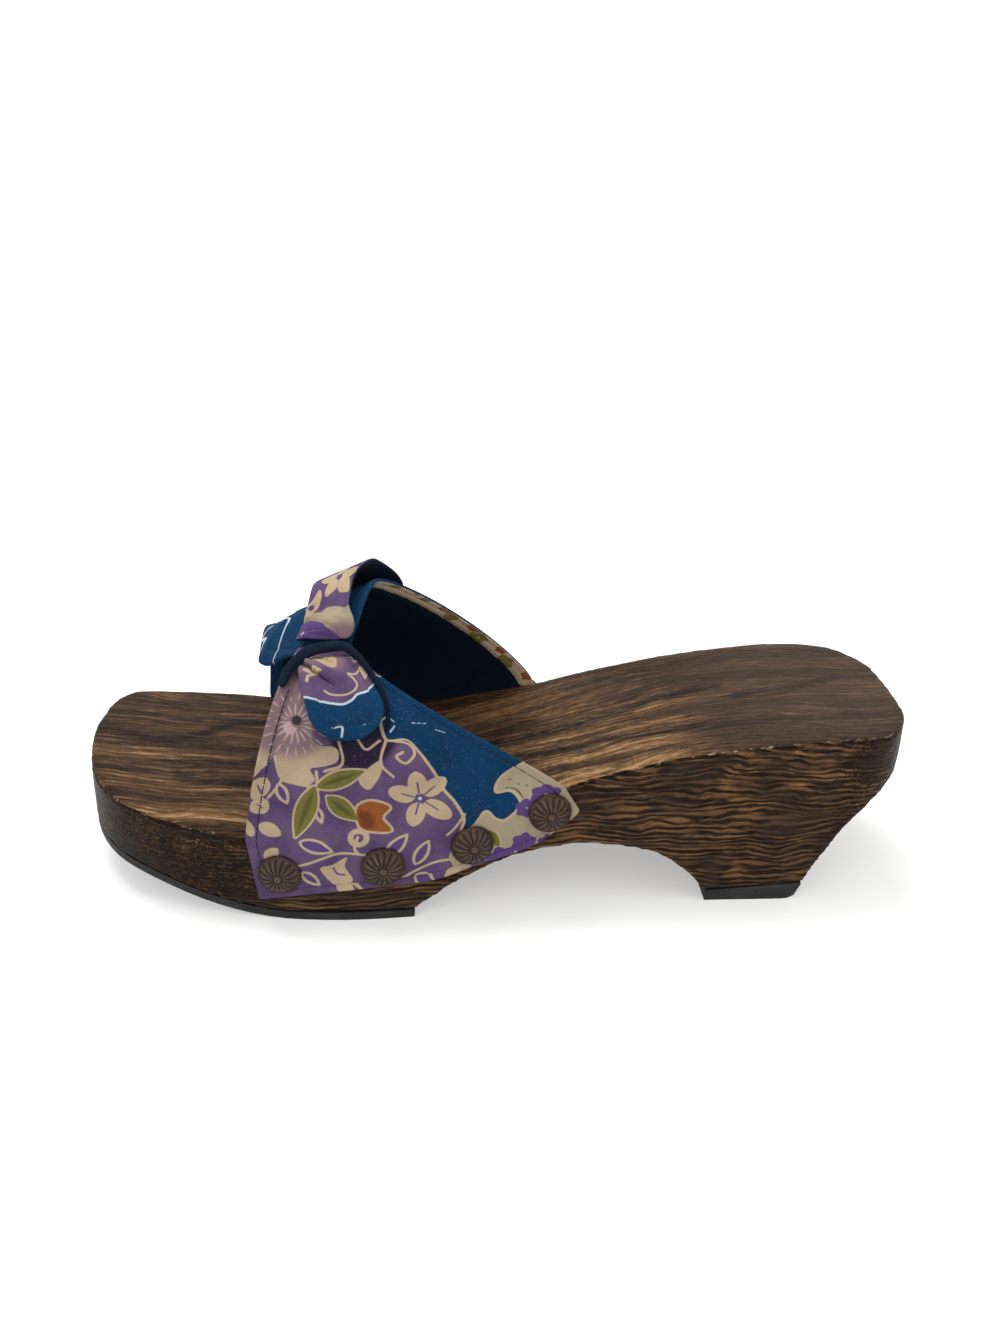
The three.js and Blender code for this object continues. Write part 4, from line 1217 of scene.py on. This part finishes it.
def closed_form(name, around, along, place, look, slot, *nodes):
    """A closed piece of rings. Place gives points from the turn round it and the share along it."""
    grid, turn, share = flat_grid(around, along)
    places, deep = place(turn * 2 * math.pi, share)
    hollow = grid.verts.layers.float.new("hollow")
    for vert, spot, depth in zip(grid.verts, places, deep):
        vert.co = spot
        vert[hollow] = depth
    bmesh.ops.remove_doubles(grid, verts=grid.verts, dist=0.004 * MM)
    bmesh.ops.recalc_face_normals(grid, faces=grid.faces)
    add_piece(name, mesh_of(name, grid), (look,), slot, *nodes)


def loop_place(turn, share):
    u, s, rise, size = (read(share) for read in loop_reads)
    near = 0.01
    ends = np.sqrt(np.clip(np.minimum(share, 1 - share) / loop_ends, 0, 1))
    thick = loop_thickness / 2 * np.sqrt(size)
    seat = tail_seat + rise * (loop_rise + seat_gap)
    before, after = (
        over_outer(loop_reads[0](place), loop_reads[1](place), seat) for place in (share - near, share + near)
    )
    up = unit(over_outer(u, s, 1 * MM + 0 * s) - over_outer(u, s, 0 * s))
    side = unit(np.cross(after - before, up))
    groove = np.cos(turn * 3 + 5 * share + 1.3 * np.sin(share * 19)) * 0.07
    groove = groove + np.cos(turn * 5 - 9 * share) * 0.035
    fold = (1 + groove * np.sin(share * math.pi)) * ends
    wide, high = loop_width / 2 * size * np.cos(turn) * fold, thick * np.sin(turn) * fold
    middle = over_outer(u, s, seat + thick)
    return middle + side * wide[:, None] + up * high[:, None], np.clip(-groove * 5, 0, 1)


closed_form("knot_loop", 40, 220, loop_place, lining_look, "navy_lining", "knot_loop")

# Stitches: a running stitch of cotton thread a little inside each edge of the panels and round the
# tab's end. Each lies in the seam's dip, with a near-black bead at either end of it as painted shade
# for a needle hole.
stitch_pitch = 2.7 * MM
stitch_length = 1.5 * MM
thread_radius = 0.19 * MM
hole_radius = 0.30 * MM
stitch_height = cloth_wall / 2 + 0.52 * MM
hole_depth = 0.10 * MM
hole_gap = 0.12 * MM
# Needle holes: near-black beads, painted shade standing for the dark inside of each hole
hole_shade_look, shade, shader = shaded("needle_hole_shade", base_color=(0.004, 0.004, 0.006, 1), roughness=0.95)
wire(shader, roughness=shade.in_mm().noise(0.9, 2).step(0.3, 0.7, 0.9, 1.0))


def thread(name, tone):
    """Twisted cotton thread of one tone, a little uneven."""
    look, shade, shader = shaded(name, specular_ior_level=0.15)
    twist = shade.in_mm().noise(3.5, 2, 0.6)
    wire(shader, base_color=dyed(twist, tone, 0.3, 0.7, 0.7, 1.25),
         roughness=twist.step(0.3, 0.7, 0.7, 0.95), normal=twist.bump(0.1 * MM, 0.6))
    return look


ball = bmesh.new()
bmesh.ops.create_uvsphere(ball, u_segments=10, v_segments=8, radius=1)
ball_mesh = mesh_of("ball", ball)
ball_places = np.array([vert.co for vert in ball_mesh.vertices])


def bead(mesh, centre, ahead, out, half_length, half_width, half_height, index):
    """Adds an egg-shaped bead, its length along ahead and its height along out."""
    axes = np.array((np.cross(out, ahead) * half_width, out * half_height, ahead * half_length))
    ball_mesh.vertices.foreach_set("co", (centre + ball_places @ axes).ravel())
    ball_mesh.polygons.foreach_set("material_index", [index] * len(ball_mesh.polygons))
    mesh.from_mesh(ball_mesh)


def running_stitch(name, rows, tone, slot):
    """Stitches along rows, each the places of a seam and the places a little above them."""
    mesh = bmesh.new()
    for places, above in rows:
        out = unit(above - places)
        reach = np.concatenate(([0], np.cumsum(np.linalg.norm(np.diff(places, axis=0), axis=1))))
        for start in np.arange(0.4 * stitch_pitch, reach[-1] - stitch_pitch, stitch_pitch):
            near, middle, far, up = (
                np.array([np.interp(at, reach, field[:, axis]) for axis in range(3)])
                for at, field in ((start, places), (start + stitch_length / 2, places),
                                  (start + stitch_length, places), (start, out))
            )
            ahead = unit(far - near)
            up = unit(up - ahead * (up @ ahead))
            bead(mesh, middle, ahead, up, stitch_length / 2, thread_radius, thread_radius * 0.8, 0)
            for end in (near - ahead * hole_gap, far + ahead * hole_gap):
                bead(mesh, end, ahead, up, hole_radius, hole_radius * 0.8, hole_depth, 1)
    add_piece(name, mesh_of(name, mesh), (thread(name, tone), hole_shade_look), slot)


def seam_rows(over, toe_top, heel_top):
    """The seams of a panel, with the places above them: along its toe edge, hem and heel edge."""
    share = np.linspace(0, 1, 200)
    near = 0.1
    rows = []
    for edge, top in ((0.0, toe_top), (None, 0.975), (1.0, heel_top)):
        if edge is None:
            u = lerp(0.03, top, share)
            lift = over(u, 0 * u + near, 0 * u) - over(u, 0 * u, 0 * u)
            s = stitch_inset / np.linalg.norm(lift, axis=1) * near
        else:
            s = lerp(0.06, top, share)
            start = 0 * s + edge * (1 - near)
            side = over(start + near, s, 0 * s) - over(start, s, 0 * s)
            u = np.abs(edge - stitch_inset / np.linalg.norm(side, axis=1) * near)
        rows.append((over(u, s, 0 * u + stitch_height), over(u, s, 0 * u + 2 * stitch_height)))
    return rows


running_stitch("panel_stitches", [*seam_rows(over_outer, 0.80, 0.90), *seam_rows(over_inner, 0.66, 0.62)],
               (0.011, 0.013, 0.032), "navy_lining")

# The tab's row runs down its toe side, round its end and up its heel side
turn = np.linspace(0, 1, 200)
corner = smooth((0.16 - np.abs(turn - 0.5)) / 0.16)
tab_along = lerp(0.50, 0.905, 1 - np.abs(turn * 2 - 1)) + 0.02 * corner
tab_across = lerp(np.where(turn < 0.5, 0.10, 0.90), smooth((turn - 0.34) / 0.32), corner)
tab_row = tuple(
    tail_point(over_outer, tab_course, tab_across, tab_along, tab_lift(tab_along) + tab_wall + above)
    for above in (-0.12 * MM, 1 * MM)
)
running_stitch("tab_stitches", [tab_row], (0.12, 0.19, 0.25), "printed_cotton")

# Tacks: cast bronze heads in the shape of a daisy, with petals round a button and a beaded rim,
# four along each side's hem. Their shanks go through the cloth into the wood.
tack_rows = ((0.07, 0.655), (0.385, 0.57), (0.66, 0.62), (0.905, 0.64))
tack_head = 11.6 * MM
tack_dome = 2.9 * MM
tack_shank = 2 * MM
tack_depth = 9 * MM
petal_count = 16
bead_count = 40
tack_profile = curve_of((
    (0, 0.94), (0.10, 0.97), (0.17, 0.90), (0.20, 0.80), (0.25, 0.86), (0.40, 0.92), (0.60, 0.80),
    (0.80, 0.50), (0.885, 0.30), (0.915, 0.22), (0.95, 0.30), (0.985, 0.20), (1, 0.0),
))
petal_relief = 0.42 * MM
bead_relief = 0.22 * MM
bronze_look, shade, shader = shaded("bronze", specular_ior_level=0.5)
hollow = shade.layer("hollow")
stain = shade.in_mm().noise((0.5, 0.5, 0.5), 4, 0.65)
metal = (stain * 0.8 + 0.1 - hollow * 0.5).ramp((
    (0.0, (0.007, 0.005, 0.004)), (0.35, (0.048, 0.029, 0.021)), (0.75, (0.135, 0.084, 0.060)),
))
wire(shader, base_color=metal, metallic=hollow.step(0.1, 0.9, 0.85, 0.35),
     roughness=stain.step(0.3, 0.7, 0.36, 0.58) + hollow * 0.25, normal=stain.bump(0.12 * MM, 0.5))


def tack_place(turn, share):
    """A head about +z with its underside at 0, then its shank down to a point."""
    shank = tack_shank / tack_head
    radius = np.interp(share, (0, 0.74, 0.76, 0.80, 0.94, 1), (0, 1, 1, shank, shank, 0))
    fine = smooth((radius - 0.22) / 0.1) * (1 - smooth((radius - 0.84) / 0.06))
    rim = smooth((radius - 0.88) / 0.04) * (1 - smooth((radius - 0.985) / 0.015))
    between_petals = (1 - np.abs(np.sin(turn * petal_count / 2)) ** 0.6) * fine
    between_beads = (1 - np.abs(np.sin(turn * bead_count / 2)) ** 0.7) * rim
    head = tack_profile(radius) * tack_dome
    head = head - between_petals * petal_relief * (0.5 + radius) - between_beads * bead_relief
    pin = np.interp(share, (0.80, 0.94, 1), (0, -0.93, -1)) * tack_depth
    wide = radius * tack_head / 2
    button_edge = smooth((0.24 - np.abs(radius - 0.21) * 4) / 0.2)
    groove = np.clip(between_petals * 1.6 + between_beads + button_edge, 0, 1)
    height = np.where(share > 0.75, pin, head)
    return np.stack((wide * np.cos(turn), wide * np.sin(turn), height), axis=-1), groove


for panel, side in ((outer_panel, "outer"), (inner_panel, "inner")):
    for number, (along, over) in enumerate(tack_rows, 1):
        x, z = hem_of(panel, along)
        z = z + over * tack_head
        here = beside_wood(panel, x, z)
        ahead = beside_wood(panel, x + MM, z) - beside_wood(panel, x - MM, z)
        out = Vector(np.cross(ahead, (0, 0, 1))).normalized()
        if out.y * panel["sign"] < 0:
            out.negate()
        turned = Vector((0, 0, 1)).rotation_difference(out).to_matrix()
        seat = here + np.array(out) * tail_seat

        def placed(turn, share, matrix=np.array(turned), origin=seat):
            spots, deep = tack_place(turn, share)
            return spots @ matrix.T + origin, deep

        name = f"tack_{side}_{number}"
        closed_form(name, 208, 76, placed, bronze_look, "bronze", name)
